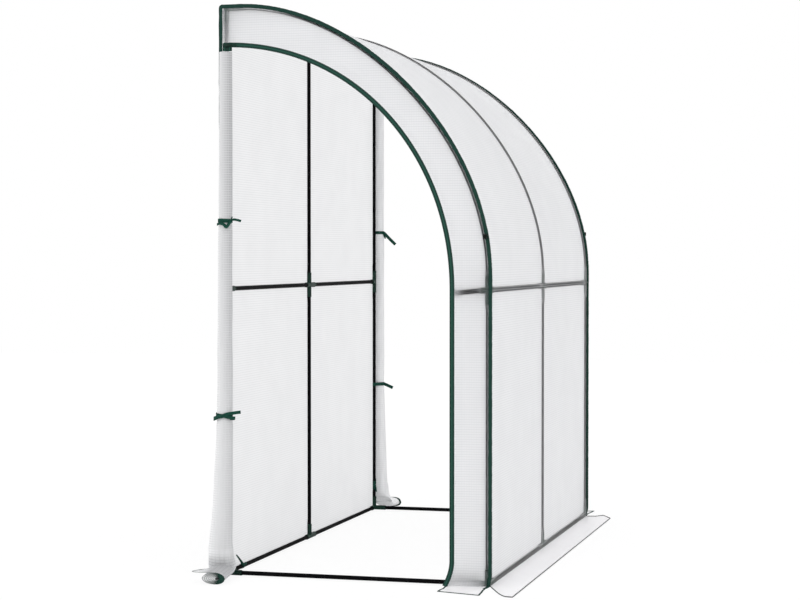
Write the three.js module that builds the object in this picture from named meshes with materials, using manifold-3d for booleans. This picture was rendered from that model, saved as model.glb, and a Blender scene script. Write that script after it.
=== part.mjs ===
// Lean-to greenhouse: a frame of push-fit steel tubes under a sewn cover of mesh film.
// X points away from the wall, Y runs along it from the near end to the far end, Z is up.
// Sizes are in millimetres. The origin is on the ground below the centre wall post.
import * as THREE from 'three';
import { mergeVertices } from 'three/addons/utils/BufferGeometryUtils.js';
import Module from 'manifold-3d';

const wasm = await Module();
wasm.setup();

// Frame, from tube axis to tube axis
const frameDepth = 1000;
const bayLength = 990;
const midHeight = 1073;
const ridgeHeight = 2118;
const archHandleShares = [0.51, 0.47];
const archSteps = 14;

// Tubes
const tubeDiameter = 16;
const tubeWall = 0.6;
const stayDrop = 12;

// Push-fit connectors, with each socket's reach from the connector's centre
const socketDiameter = 21;
const uprightReach = 51;
const awayReach = 70;
const backReach = 40;
const acrossReach = 56;
const stayReach = 24;
const tubeStopDepth = 12;
const footFlatDepth = 0.6;

// Clearances
const seatGap = 0.3;
const boreGap = 0.5;
const cutOverrun = 2;

// Cover film and what is sewn to it
const filmThickness = 1.2;
const groundGap = 2;
const seamRise = 15;
const seamFall = 1;
const seamWallReach = 26;
const seamThickness = 3;
const frontStripWidth = 134;
const topStripHeight = 140;
const doorHandleShares = [0.56, 0.56];
const tapeWidth = 18;
const tapeThickness = 2;
const tapeEndLength = 36;
const tapeEndDrop = 21;

// Guy loops
const loopAboveMiddle = 207;
const loopReach = 38;
const loopTall = 18;
const loopBand = 12;
const loopWebbing = 3;

// Zip sliders
const sliderLength = 26;
const sliderWidth = 13;
const sliderThickness = 7;
const pullLength = 24;
const pullWidth = 8;
const pullThickness = 2.5;
const sliderInset = 8;

// Rolled doors
const rollRadius = 29;
const rollCore = 8;
const rollWraps = 3;
const wrapThickness = 3.2;
const rollTaperShare = 0.84;
const rollTopDrop = 27;
const rollBottomHeight = 70;
const hingeInset = 19;
const rollSideOffset = 28;
const rollFrontOffset = 29.4;
const footLength = 170;
const footHalfWidth = 41;
const footHalfHeight = 23.5;

// Ribbon ties
const tieHeights = { upper: 1315, lower: 598 };
const ribbonWidth = 12;
const ribbonThickness = 1.4;
const knotSize = 11;
const tailRun = 54;
const tailRise = 14;
const bowRun = 36;
const bowDrop = 12;
const farTailRuns = { upper: 46, lower: 50 };
const farTailDrops = { upper: 54, lower: 22 };

// Ground skirts
const skirtThickness = 1.2;
const frontSkirtReach = 120;
const frontSkirtCornerLength = 190;
const flareShares = [0.52, 0.6, 0.35];
const endSkirtReach = 186;
const endSkirtSkewLength = 48;
const endSkirtCornerWidth = 22;
const endSkirtTipWidth = 11;
const straightRunWidth = 26;

// Worked-out sizes
const tubeRadius = tubeDiameter / 2;
const socketRadius = socketDiameter / 2;
const groundAxis = socketRadius - footFlatDepth;
const halfLength = bayLength;
const doorWidth = frameDepth - frontStripWidth;
const doorHeight = ridgeHeight - topStripHeight;
const rollTop = doorHeight - rollTopDrop;
const filmRise = socketRadius + seatGap;
const filmOutside = filmRise + filmThickness;
const endFilmFace = halfLength + filmRise;
const endFilmOutside = endFilmFace + filmThickness;
const sewnFace = endFilmOutside + seatGap;
const hingeFace = sewnFace + seamThickness + seatGap + wrapThickness / 2;
const roundSides = 12;
const ringSides = 24;

const ends = ['near', 'far'];
const frames = ['near', 'centre', 'far'];
const bays = ['near_bay', 'far_bay'];
const up = new THREE.Vector3(0, 0, 1);
const down = new THREE.Vector3(0, 0, -1);
const away = new THREE.Vector3(0, 1, 0);
const back = new THREE.Vector3(0, -1, 0);
const outward = new THREE.Vector3(1, 0, 0);
const wallward = new THREE.Vector3(-1, 0, 0);

const blackSteel = new THREE.MeshStandardMaterial({ color: 0x141416, roughness: 0.45, metalness: 0.3 });
const greenPlastic = new THREE.MeshStandardMaterial({ color: 0x12352b, roughness: 0.6, metalness: 0 });
const meshFilm = new THREE.MeshStandardMaterial({ color: 0xe8e8ea, roughness: 0.4, metalness: 0 });
const skirtFilm = new THREE.MeshStandardMaterial({ color: 0xf5f3f6, roughness: 0.4, metalness: 0 });
const greenTape = new THREE.MeshStandardMaterial({ color: 0x14463a, roughness: 0.7, metalness: 0 });
const greenRibbon = new THREE.MeshStandardMaterial({ color: 0x18503f, roughness: 0.8, metalness: 0 });

const greenhouse = new THREE.Group();

// Solids from closed geometries, for joining and cutting
function toSolid(geometry) {
  const bare = geometry.clone();
  bare.deleteAttribute('normal');
  bare.deleteAttribute('uv');
  const merged = mergeVertices(bare);
  return new wasm.Manifold(new wasm.Mesh({
    numProp: 3,
    vertProperties: new Float32Array(merged.attributes.position.array),
    triVerts: new Uint32Array(merged.index.array),
  }));
}

function toGeometry(solid) {
  const mesh = solid.getMesh();
  const geometry = new THREE.BufferGeometry();
  geometry.setAttribute('position', new THREE.BufferAttribute(new Float32Array(mesh.vertProperties), 3));
  geometry.setIndex(new THREE.BufferAttribute(new Uint32Array(mesh.triVerts), 1));
  geometry.computeVertexNormals();
  return geometry;
}

function joined(geometries) {
  return geometries.map(toSolid).reduce((whole, piece) => whole.add(piece));
}

// The same piece for the far end, with its faces turned back outwards
function mirrored(geometry) {
  const flipped = geometry.index ? geometry.toNonIndexed() : geometry.clone();
  flipped.scale(1, -1, 1);
  const place = flipped.attributes.position;
  const first = new THREE.Vector3();
  const last = new THREE.Vector3();
  for (let i = 0; i < place.count; i += 3) {
    first.fromBufferAttribute(place, i);
    last.fromBufferAttribute(place, i + 2);
    place.setXYZ(i, last.x, last.y, last.z);
    place.setXYZ(i + 2, first.x, first.y, first.z);
  }
  flipped.computeVertexNormals();
  return flipped;
}

function addPiece(name, geometry, material, parent = greenhouse) {
  const mesh = new THREE.Mesh(geometry, material);
  mesh.name = name;
  parent.add(mesh);
  return mesh;
}

// Both ends of a piece that is made for the near end
function addPair(stem, geometry, material) {
  addPiece(`near_${stem}`, geometry, material);
  addPiece(`far_${stem}`, mirrored(geometry), material);
}

// A curve through given stations, with one extrude step from each to the next
class StationCurve extends THREE.Curve {
  constructor(stations) {
    super();
    this.stations = stations;
  }

  getPoint(t, target = new THREE.Vector3()) {
    const place = t * (this.stations.length - 1);
    const index = Math.min(Math.floor(place), this.stations.length - 2);
    return target.lerpVectors(this.stations[index], this.stations[index + 1], place - index);
  }

  getPointAt(u, target) {
    return this.getPoint(u, target);
  }

  getTangentAt(u, target) {
    return this.getTangent(u, target);
  }
}

// Points of an outline in the plane across the greenhouse, as X and Z
function bezierPoints(start, startHandle, endHandle, end, steps) {
  return new THREE.CubicBezierCurve(start, startHandle, endHandle, end).getPoints(steps);
}

const archStart = new THREE.Vector2(frameDepth, midHeight + uprightReach);
const archEnd = new THREE.Vector2(acrossReach, ridgeHeight);
const archAxis = bezierPoints(
  archStart,
  new THREE.Vector2(frameDepth, archStart.y + archHandleShares[0] * (ridgeHeight - archStart.y)),
  new THREE.Vector2(archEnd.x + archHandleShares[1] * (frameDepth - archEnd.x), ridgeHeight),
  archEnd,
  archSteps,
);

// The arch's axis moved outwards by a distance, from the mid connector to the ridge connector
function archOffset(distance) {
  return archAxis.map((point, i) => {
    if (i === 0) return new THREE.Vector2(point.x + distance, point.y);
    if (i === archSteps) return new THREE.Vector2(point.x, point.y + distance);
    const along = archAxis[i + 1].clone().sub(archAxis[i - 1]).normalize();
    return new THREE.Vector2(point.x + along.y * distance, point.y - along.x * distance);
  });
}

// The place at a given height on the front leg and arch, moved outwards from their axis
function archPlace(distance, height) {
  const points = [new THREE.Vector2(frameDepth + distance, 0), ...archOffset(distance)];
  const next = points.findIndex((point) => point.y > height);
  const low = points[next - 1];
  const high = points[next];
  return low.clone().lerp(high, (height - low.y) / (high.y - low.y));
}

// The doorway's curved edge moved outwards, from mid height to the wall side
function doorCurve(distance) {
  const width = doorWidth + distance;
  const height = doorHeight + distance;
  return bezierPoints(
    new THREE.Vector2(width, midHeight),
    new THREE.Vector2(width, midHeight + doorHandleShares[0] * (height - midHeight)),
    new THREE.Vector2(doorHandleShares[1] * width, height),
    new THREE.Vector2(0, height),
    archSteps,
  );
}

// A flat outline across the greenhouse, thickened from one face towards the near end
function crossPlate(points, face, thickness) {
  const plate = new THREE.ExtrudeGeometry(new THREE.Shape(points), { depth: thickness, bevelEnabled: false });
  plate.rotateX(Math.PI / 2);
  plate.translate(0, -face, 0);
  return plate;
}

// A flat outline on the ground, with its underside at the height given
function groundPlate(points, height, thickness) {
  const plate = new THREE.ExtrudeGeometry(new THREE.Shape(points), { depth: thickness, bevelEnabled: false });
  plate.translate(0, 0, height);
  return plate;
}

function boxBetween(low, high) {
  const size = high.clone().sub(low);
  const box = new THREE.BoxGeometry(size.x, size.y, size.z);
  box.translate((low.x + high.x) / 2, (low.y + high.y) / 2, (low.z + high.z) / 2);
  return box;
}

// Straight tubes, open at both ends
function addTube(name, start, end) {
  const length = start.distanceTo(end);
  const bore = tubeRadius - tubeWall;
  const profile = [[tubeRadius, 0], [tubeRadius, length], [bore, length], [bore, 0], [tubeRadius, 0]];
  const points = profile.map(([radius, along]) => new THREE.Vector2(radius, along));
  const tube = addPiece(name, new THREE.LatheGeometry(points, roundSides), blackSteel);
  tube.quaternion.setFromUnitVectors(new THREE.Vector3(0, 1, 0), end.clone().sub(start).normalize());
  tube.position.copy(start);
}

const insert = tubeStopDepth + seatGap;
const framePlace = (i) => (i - 1) * bayLength;

frames.forEach((frame, i) => {
  const y = framePlace(i);
  addTube(
    `wall_post_lower_${frame}`,
    new THREE.Vector3(0, y, groundAxis + insert),
    new THREE.Vector3(0, y, midHeight - insert),
  );
  addTube(
    `wall_post_upper_${frame}`,
    new THREE.Vector3(0, y, midHeight + insert),
    new THREE.Vector3(0, y, ridgeHeight - insert),
  );
  addTube(
    `front_leg_${frame}`,
    new THREE.Vector3(frameDepth, y, groundAxis + insert),
    new THREE.Vector3(frameDepth, y, midHeight - insert),
  );
});

const barLines = [
  ['wall_bottom_bar', 0, groundAxis],
  ['wall_middle_bar', 0, midHeight],
  ['ridge_bar', 0, ridgeHeight],
  ['front_base_bar', frameDepth, groundAxis],
  ['front_middle_bar', frameDepth, midHeight],
];
for (const [stem, x, z] of barLines) {
  bays.forEach((bay, i) => {
    addTube(
      `${stem}_${bay}`,
      new THREE.Vector3(x, framePlace(i) + insert, z),
      new THREE.Vector3(x, framePlace(i + 1) - insert, z),
    );
  });
}

const stayDirection = new THREE.Vector3(doorWidth - frameDepth, 0, -stayDrop).normalize();
const stayLength = Math.hypot(frameDepth - doorWidth, stayDrop);
ends.forEach((end, i) => {
  const y = framePlace(2 * i);
  addTube(
    `${end}_threshold`,
    new THREE.Vector3(insert, y, groundAxis),
    new THREE.Vector3(frameDepth - insert, y, groundAxis),
  );
  const corner = new THREE.Vector3(frameDepth, y, midHeight);
  addTube(
    `${end}_stay`,
    corner.clone().addScaledVector(stayDirection, insert),
    corner.clone().addScaledVector(stayDirection, stayLength),
  );
});

// Arch tubes, straight inside both sockets and curved between them
frames.forEach((frame, i) => {
  const y = framePlace(i);
  const section = new THREE.Shape();
  section.absarc(0, 0, tubeRadius, 0, 2 * Math.PI, false);
  const bore = new THREE.Path();
  bore.absarc(0, 0, tubeRadius - tubeWall, 0, 2 * Math.PI, true);
  section.holes.push(bore);
  const stations = [
    new THREE.Vector3(frameDepth, y, midHeight + insert),
    ...archAxis.map((point) => new THREE.Vector3(point.x, y, point.y)),
    new THREE.Vector3(insert, y, ridgeHeight),
  ];
  const tube = new THREE.ExtrudeGeometry(section, {
    steps: stations.length - 1,
    curveSegments: roundSides / 2,
    extrudePath: new StationCurve(stations),
  });
  addPiece(`arch_tube_${frame}`, tube, blackSteel);
});

// Push-fit connectors: a round hub with blind sockets
function cylinderAlong(direction, start, end, radius) {
  const cylinder = new THREE.CylinderGeometry(radius, radius, end - start, roundSides);
  cylinder.translate(0, (start + end) / 2, 0);
  cylinder.applyQuaternion(new THREE.Quaternion().setFromUnitVectors(new THREE.Vector3(0, 1, 0), direction));
  return cylinder;
}

function addConnector(name, place, arms, onGround = false) {
  const hub = new THREE.SphereGeometry(socketRadius, roundSides, roundSides / 2);
  let body = joined([hub, ...arms.map(([direction, reach]) => cylinderAlong(direction, 0, reach, socketRadius))]);
  for (const [direction, reach] of arms) {
    body = body.subtract(toSolid(cylinderAlong(direction, tubeStopDepth, reach + cutOverrun, tubeRadius + boreGap)));
  }
  if (onGround) {
    const span = awayReach + cutOverrun;
    const below = boxBetween(
      new THREE.Vector3(-span, -span, -socketDiameter),
      new THREE.Vector3(span, span, -groundAxis),
    );
    body = body.subtract(toSolid(below));
  }
  addPiece(name, toGeometry(body), greenPlastic).position.copy(place);
}

frames.forEach((frame, i) => {
  const y = framePlace(i);
  const atEnd = i !== 1;
  const along = [];
  if (i < 2) along.push([away, awayReach]);
  if (i > 0) along.push([back, backReach]);
  const wallAcross = atEnd ? [[outward, acrossReach]] : [];
  const frontAcross = atEnd ? [[wallward, acrossReach]] : [];
  const stayArm = atEnd ? [[stayDirection, stayReach]] : [];
  addConnector(
    `wall_bottom_connector_${frame}`,
    new THREE.Vector3(0, y, groundAxis),
    [[up, uprightReach], ...along, ...wallAcross],
    true,
  );
  addConnector(
    `wall_middle_connector_${frame}`,
    new THREE.Vector3(0, y, midHeight),
    [[up, uprightReach], [down, uprightReach], ...along],
  );
  addConnector(
    `ridge_connector_${frame}`,
    new THREE.Vector3(0, y, ridgeHeight),
    [[down, uprightReach], ...along, [outward, acrossReach]],
  );
  addConnector(
    `front_base_connector_${frame}`,
    new THREE.Vector3(frameDepth, y, groundAxis),
    [[up, uprightReach], ...along, ...frontAcross],
    true,
  );
  addConnector(
    `front_middle_connector_${frame}`,
    new THREE.Vector3(frameDepth, y, midHeight),
    [[up, uprightReach], [down, uprightReach], ...along, ...stayArm],
  );
});

// Roof and front in one curved sheet, from the ground to the top of the wall
function alongSheet(points, halfSpan) {
  const sheet = new THREE.ExtrudeGeometry(new THREE.Shape(points), { depth: 2 * halfSpan, bevelEnabled: false });
  sheet.rotateX(Math.PI / 2);
  sheet.translate(0, halfSpan, 0);
  return sheet;
}

const sheetHalfSpan = endFilmFace - seatGap;
const roofOutline = [
  new THREE.Vector2(frameDepth + filmOutside, groundGap),
  ...archOffset(filmOutside),
  new THREE.Vector2(-filmOutside, ridgeHeight + filmOutside),
  new THREE.Vector2(-filmOutside, ridgeHeight + filmRise),
  ...archOffset(filmRise).reverse(),
  new THREE.Vector2(frameDepth + filmRise, groundGap),
];
addPiece('roof_and_front_panel', alongSheet(roofOutline, sheetHalfSpan), meshFilm);

const backPanel = boxBetween(
  new THREE.Vector3(-filmOutside, -sheetHalfSpan, groundGap),
  new THREE.Vector3(-filmRise, sheetHalfSpan, ridgeHeight + filmRise - seatGap),
);
addPiece('back_panel', backPanel, meshFilm);

// End panels: the strip that follows the arch, round the doorway
const stripRise = seamRise - seamFall;
const stripOutline = [
  new THREE.Vector2(frameDepth + stripRise, groundGap),
  ...archOffset(stripRise),
  new THREE.Vector2(seamFall - seamWallReach, ridgeHeight + stripRise),
  new THREE.Vector2(seamFall - seamWallReach, doorHeight),
  ...doorCurve(0).reverse(),
  new THREE.Vector2(doorWidth, groundGap),
];
addPair('end_panel', crossPlate(stripOutline, endFilmFace, filmThickness), meshFilm);

// Bound seam along the outer edge of the end panel, with the guy loop sewn into it
const seamOutline = [
  new THREE.Vector2(frameDepth + seamRise, groundGap),
  ...archOffset(seamRise),
  new THREE.Vector2(-seamWallReach, ridgeHeight + seamRise),
  new THREE.Vector2(-seamWallReach, groundGap),
  new THREE.Vector2(-filmOutside, groundGap),
  new THREE.Vector2(-filmOutside, ridgeHeight + seamFall),
  ...archOffset(seamFall).reverse(),
  new THREE.Vector2(frameDepth + seamFall, groundGap),
];
const seamBand = crossPlate(seamOutline, sewnFace, seamThickness);

function guyLoop() {
  const reach = loopReach;
  const rim = new THREE.Shape();
  rim.moveTo(-cutOverrun, -loopTall / 2);
  rim.lineTo(reach - loopTall / 2, -loopTall / 2);
  rim.absarc(reach - loopTall / 2, 0, loopTall / 2, -Math.PI / 2, Math.PI / 2, false);
  rim.lineTo(-cutOverrun, loopTall / 2);
  rim.closePath();
  const eye = new THREE.Path();
  const eyeRadius = loopTall / 2 - loopWebbing;
  eye.moveTo(0, -eyeRadius);
  eye.lineTo(0, eyeRadius);
  eye.lineTo(reach - loopTall / 2, eyeRadius);
  eye.absarc(reach - loopTall / 2, 0, eyeRadius, Math.PI / 2, -Math.PI / 2, true);
  eye.closePath();
  rim.holes.push(eye);
  const loop = new THREE.ExtrudeGeometry(rim, {
    depth: loopBand,
    bevelEnabled: false,
    curveSegments: roundSides / 2,
  });
  loop.translate(0, 0, -loopBand / 2);
  loop.rotateX(Math.PI / 2);
  loop.rotateZ(-Math.PI / 2);
  return loop;
}

const loopSeat = archPlace((seamRise + seamFall) / 2, midHeight + loopAboveMiddle);
const loop = guyLoop();
loop.translate(loopSeat.x, -(sewnFace + seamThickness), loopSeat.y);
addPair('seam_binding', toGeometry(joined([seamBand, loop])), greenTape);

// Zip tape round the doorway, with its doubled end at the wall side
const tapeEnd = new THREE.Vector2(seatGap - filmOutside, doorHeight);
const tapeOutline = [
  new THREE.Vector2(doorWidth + tapeWidth / 2, groundGap),
  ...doorCurve(tapeWidth / 2),
  new THREE.Vector2(tapeEnd.x, tapeEnd.y + tapeWidth / 2),
  new THREE.Vector2(tapeEnd.x, tapeEnd.y - tapeEndDrop),
  new THREE.Vector2(tapeEnd.x + tapeEndLength - tapeThickness, tapeEnd.y - tapeEndDrop),
  new THREE.Vector2(tapeEnd.x + tapeEndLength, tapeEnd.y - tapeWidth / 2),
  ...doorCurve(-tapeWidth / 2).reverse().slice(1),
  new THREE.Vector2(doorWidth - tapeWidth / 2, groundGap),
];
addPair('zip_tape', crossPlate(tapeOutline, sewnFace, tapeThickness), greenTape);

// Zip slider with its pull laid along the tape
const sliderFace = sewnFace + tapeThickness + seatGap;
const sliderOutside = sliderFace + sliderThickness;
const slider = boxBetween(
  new THREE.Vector3(sliderInset - sliderLength / 2, -sliderOutside, doorHeight - sliderWidth / 2),
  new THREE.Vector3(sliderInset + sliderLength / 2, -sliderFace, doorHeight + sliderWidth / 2),
);
const pull = boxBetween(
  new THREE.Vector3(sliderInset, -(sliderFace + pullThickness), doorHeight - pullWidth / 2),
  new THREE.Vector3(sliderInset + sliderLength / 2 + pullLength, -sliderFace, doorHeight + pullWidth / 2),
);
addPair('zip_slider', toGeometry(joined([slider, pull])), greenPlastic);

// Rolled door: a spiral of film that leaves along a tangent for its seam at the corner
const hinge = new THREE.Vector2(-hingeInset, -hingeFace);
const rollCentre = new THREE.Vector2(hinge.x + rollSideOffset, hinge.y - rollFrontOffset);
const hingeDistance = Math.hypot(rollSideOffset, rollFrontOffset);
const hingeAngle = Math.atan2(hinge.y - rollCentre.y, hinge.x - rollCentre.x);
const wrapRadius = rollRadius - wrapThickness / 2;
const leaveAngle = hingeAngle - Math.acos(wrapRadius / hingeDistance);
const wrapSteps = 16 * rollWraps;

function onRoll(radius, angle) {
  return new THREE.Vector2(rollCentre.x + radius * Math.cos(angle), rollCentre.y + radius * Math.sin(angle));
}

function wrapEdge(side) {
  const points = [];
  for (let i = 0; i <= wrapSteps; i += 1) {
    const share = i / wrapSteps;
    const angle = leaveAngle - 2 * Math.PI * rollWraps * (1 - share);
    const radius = rollCore + (wrapRadius - rollCore) * share + side * wrapThickness / 2;
    points.push(onRoll(radius, angle));
  }
  return points;
}

const webAngle = leaveAngle + Math.PI / 2;
function webPoint(turn, radius) {
  return new THREE.Vector2(hinge.x + radius * Math.cos(webAngle + turn), hinge.y + radius * Math.sin(webAngle + turn));
}
const webEndTurnShares = [-0.5, -0.25, 0, 0.25, 0.5];
const rollOutline = [
  ...wrapEdge(1),
  ...webEndTurnShares.map((share) => webPoint(share * Math.PI, wrapThickness / 2)),
  ...wrapEdge(-1).reverse(),
];

// Narrower towards the top, drawn in about the seam
function taperFromSeam(geometry) {
  const place = geometry.attributes.position;
  for (let i = 0; i < place.count; i += 1) {
    const scale = 1 - (1 - rollTaperShare) * (place.getZ(i) / rollTop);
    place.setX(i, hinge.x + (place.getX(i) - hinge.x) * scale);
    place.setY(i, hinge.y + (place.getY(i) - hinge.y) * scale);
  }
  return geometry;
}

const wrapped = new THREE.ExtrudeGeometry(new THREE.Shape(rollOutline), {
  depth: rollTop - rollBottomHeight,
  bevelEnabled: false,
});
wrapped.translate(0, 0, rollBottomHeight);
taperFromSeam(wrapped);

// Foot of the roll: the door's ground flap, rolled with it and laid out on the ground
function loft(rings) {
  const sides = rings[0].length;
  const corners = rings.flat();
  const faces = [];
  for (let i = 0; i + 1 < rings.length; i += 1) {
    for (let j = 0; j < sides; j += 1) {
      const a = i * sides + j;
      const b = i * sides + ((j + 1) % sides);
      faces.push(a, b, b + sides, a, b + sides, a + sides);
    }
  }
  for (let j = 1; j + 1 < sides; j += 1) {
    const last = (rings.length - 1) * sides;
    faces.push(0, j + 1, j);
    faces.push(last, last + j, last + j + 1);
  }
  const geometry = new THREE.BufferGeometry();
  const flat = corners.flatMap((corner) => [corner.x, corner.y, corner.z]);
  geometry.setAttribute('position', new THREE.Float32BufferAttribute(flat, 3));
  geometry.setIndex(faces);
  return geometry;
}

// Each ring: how far along the flap, the height of its middle, its tilt and its two half sizes
const footStations = [
  { alongShare: 0, heightShare: 8, turnShare: 0, widthShare: 0.66, depthShare: 1.1 },
  { alongShare: 0.03, heightShare: 4.4, turnShare: 0.2, widthShare: 0.88, depthShare: 1.1 },
  { alongShare: 0.12, heightShare: 2.3, turnShare: 0.55, widthShare: 1.12, depthShare: 1.05 },
  { alongShare: 0.32, heightShare: 1.15, turnShare: 0.9, widthShare: 1.08, depthShare: 1 },
  { alongShare: 0.66, heightShare: 1.03, turnShare: 1, widthShare: 1, depthShare: 1 },
  { alongShare: 1, heightShare: 1.02, turnShare: 1, widthShare: 0.98, depthShare: 1 },
];
const footSwayShares = {
  near: [0, -0.2, -0.5, -0.3, 0.1, 0.4],
  far: [0, 0.05, 0.1, 0.3, 0.6, 0.9],
};
const footSides = 16;

function rollFoot(end) {
  return loft(footStations.map((station, i) => {
    const middle = new THREE.Vector3(
      rollCentre.x + footSwayShares[end][i] * footHalfWidth,
      rollCentre.y - station.alongShare * footLength,
      station.heightShare * footHalfHeight,
    );
    const turn = station.turnShare * Math.PI / 2;
    const halfWidth = station.widthShare * footHalfWidth;
    const halfDepth = station.depthShare * footHalfHeight;
    return Array.from({ length: footSides }, (_, j) => {
      const angle = 2 * Math.PI * j / footSides;
      const across = halfDepth * Math.sin(angle);
      return new THREE.Vector3(
        middle.x - halfWidth * Math.cos(angle),
        middle.y + across * Math.cos(turn),
        middle.z - across * Math.sin(turn),
      );
    });
  }));
}

addPiece('near_rolled_door', toGeometry(joined([wrapped, rollFoot('near')])), meshFilm);
addPiece('far_rolled_door', mirrored(toGeometry(joined([wrapped, rollFoot('far')]))), meshFilm);

// Ribbon ties: a band round the roll, open where the film leaves it, with a knot and its ends
function ribbonTie(height, tieEnds) {
  const scale = 1 - (1 - rollTaperShare) * (height / rollTop);
  const centre = rollCentre.clone().sub(hinge).multiplyScalar(scale).add(hinge);
  const inside = (rollRadius * scale + seatGap) / Math.cos(Math.PI / ringSides);
  const outside = inside + ribbonThickness;
  const half = ribbonWidth / 2;
  const profile = [[outside, -half], [outside, half], [inside, half], [inside, -half], [outside, -half]];
  const band = new THREE.LatheGeometry(
    profile.map(([radius, along]) => new THREE.Vector2(radius, along)),
    ringSides,
  );
  band.rotateX(Math.PI / 2);
  const web = new THREE.ExtrudeGeometry(
    new THREE.Shape(webClearance(scale).map((point) => point.sub(centre))),
    { depth: 2 * ribbonWidth, bevelEnabled: false },
  );
  web.translate(0, 0, -ribbonWidth);
  const tie = joined([band, ...tieEnds(outside)]).subtract(toSolid(web));
  const geometry = toGeometry(tie);
  geometry.translate(centre.x, centre.y, height);
  return geometry;
}

// One flat ribbon end from the knot, lying in a plane across the greenhouse
function ribbonEnd(start, run, rise, face) {
  const along = new THREE.Vector2(run, rise).normalize();
  const aside = new THREE.Vector2(-along.y, along.x).multiplyScalar(ribbonWidth / 2);
  const end = start.clone().add(new THREE.Vector2(run, rise));
  const corners = [
    start.clone().sub(aside),
    end.clone().sub(aside),
    end.clone().add(aside),
    start.clone().add(aside),
  ];
  return crossPlate(corners, face, ribbonThickness);
}

// Knot on the outer side of the roll, with an end to each side
function nearTieEnds(outside) {
  const knot = new THREE.SphereGeometry(knotSize / 2, roundSides, roundSides / 2);
  knot.translate(0, -(outside + (knotSize - ribbonThickness) / 2), 0);
  const face = outside + ribbonThickness;
  const start = new THREE.Vector2(0, 0);
  return [knot, ribbonEnd(start, tailRun, tailRise, face), ribbonEnd(start, -bowRun, -bowDrop, face)];
}

// Knot on the doorway side of the roll, with its long end hanging into the doorway
function farTieEnds(place) {
  return (outside) => {
    const knot = new THREE.SphereGeometry(knotSize / 2, roundSides, roundSides / 2);
    const seat = outside + (knotSize - ribbonThickness) / 2;
    knot.translate(seat, 0, 0);
    const start = new THREE.Vector2(seat, 0);
    return [knot, ribbonEnd(start, farTailRuns[place], -farTailDrops[place], -ribbonThickness / 2)];
  };
}

// The film between the roll and its seam, with clearance, as the tie meets it
function webClearance(scale) {
  const along = new THREE.Vector2(Math.cos(webAngle), Math.sin(webAngle));
  const aside = new THREE.Vector2(-along.y, along.x);
  const half = wrapThickness / 2 + seatGap;
  const length = Math.sqrt(hingeDistance ** 2 - wrapRadius ** 2);
  return [[0, -half], [0, half], [-length, half], [-length, -half]].map(([run, offset]) => (
    hinge.clone().addScaledVector(along, run * scale).addScaledVector(aside, offset)));
}

for (const [place, height] of Object.entries(tieHeights)) {
  addPiece(`near_door_tie_${place}`, ribbonTie(height, nearTieEnds), greenRibbon);
  addPiece(`far_door_tie_${place}`, mirrored(ribbonTie(height, farTieEnds(place))), greenRibbon);
}

// Ground skirts, flat on the ground beyond the cover's foot
const frontFold = frameDepth + filmOutside + seatGap;
const frontSkirtEnd = sheetHalfSpan;
const frontSkirtOutline = [
  new THREE.Vector2(frontFold, -frontSkirtEnd),
  new THREE.Vector2(frontFold + straightRunWidth, -frontSkirtEnd),
  new THREE.Vector2(
    frontFold + frontSkirtReach * flareShares[0],
    -frontSkirtEnd - frontSkirtCornerLength * flareShares[1],
  ),
  new THREE.Vector2(frontFold + frontSkirtReach, -frontSkirtEnd - frontSkirtCornerLength),
  new THREE.Vector2(frontFold + frontSkirtReach, frontSkirtEnd - frontSkirtReach * flareShares[2]),
  new THREE.Vector2(frontFold + frontSkirtReach * flareShares[2], frontSkirtEnd),
  new THREE.Vector2(frontFold, frontSkirtEnd),
];
addPiece('front_skirt', groundPlate(frontSkirtOutline, 0, skirtThickness), skirtFilm);

const endFold = -sewnFace;
const endSkirtInside = doorWidth + tapeWidth / 2 + seatGap;
const endSkirtOutline = [
  new THREE.Vector2(endSkirtInside, endFold),
  new THREE.Vector2(endSkirtInside, endFold - straightRunWidth),
  new THREE.Vector2(endSkirtInside - endSkirtCornerWidth, endFold - endSkirtReach + endSkirtSkewLength),
  new THREE.Vector2(frameDepth + endSkirtTipWidth, endFold - endSkirtReach),
  new THREE.Vector2(frameDepth, endFold - straightRunWidth),
  new THREE.Vector2(frameDepth, endFold),
];
addPair('end_skirt', groundPlate(endSkirtOutline, 0, skirtThickness), skirtFilm);

export default greenhouse;
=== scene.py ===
import bmesh
import bpy
import numpy as np
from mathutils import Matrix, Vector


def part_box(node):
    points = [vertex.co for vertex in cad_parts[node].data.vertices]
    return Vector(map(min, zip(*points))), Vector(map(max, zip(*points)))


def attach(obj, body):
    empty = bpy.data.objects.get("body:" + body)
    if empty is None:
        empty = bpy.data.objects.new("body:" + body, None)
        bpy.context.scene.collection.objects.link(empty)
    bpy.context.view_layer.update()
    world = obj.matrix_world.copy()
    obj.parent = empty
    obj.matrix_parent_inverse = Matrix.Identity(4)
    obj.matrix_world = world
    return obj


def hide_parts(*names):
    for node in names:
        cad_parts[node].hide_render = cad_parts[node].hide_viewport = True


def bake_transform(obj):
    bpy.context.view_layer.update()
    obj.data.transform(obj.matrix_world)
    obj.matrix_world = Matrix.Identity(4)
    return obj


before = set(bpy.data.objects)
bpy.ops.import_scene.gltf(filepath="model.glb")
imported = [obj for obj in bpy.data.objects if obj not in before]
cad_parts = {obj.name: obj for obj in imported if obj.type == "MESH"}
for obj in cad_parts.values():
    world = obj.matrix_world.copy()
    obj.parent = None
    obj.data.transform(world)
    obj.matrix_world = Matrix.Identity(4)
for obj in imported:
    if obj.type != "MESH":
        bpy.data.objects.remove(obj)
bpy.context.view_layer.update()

# Camera
# Stands outside the near end, a little in front of the greenhouse and at chest height, and looks
# back towards the wall. Its place was worked out from the frame's known sizes in the picture.
camera_place = (2.586, -7.978, 1.204)
camera_yaw = 15.336
camera_tilt = -1.335
camera_lens = 89.37

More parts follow.
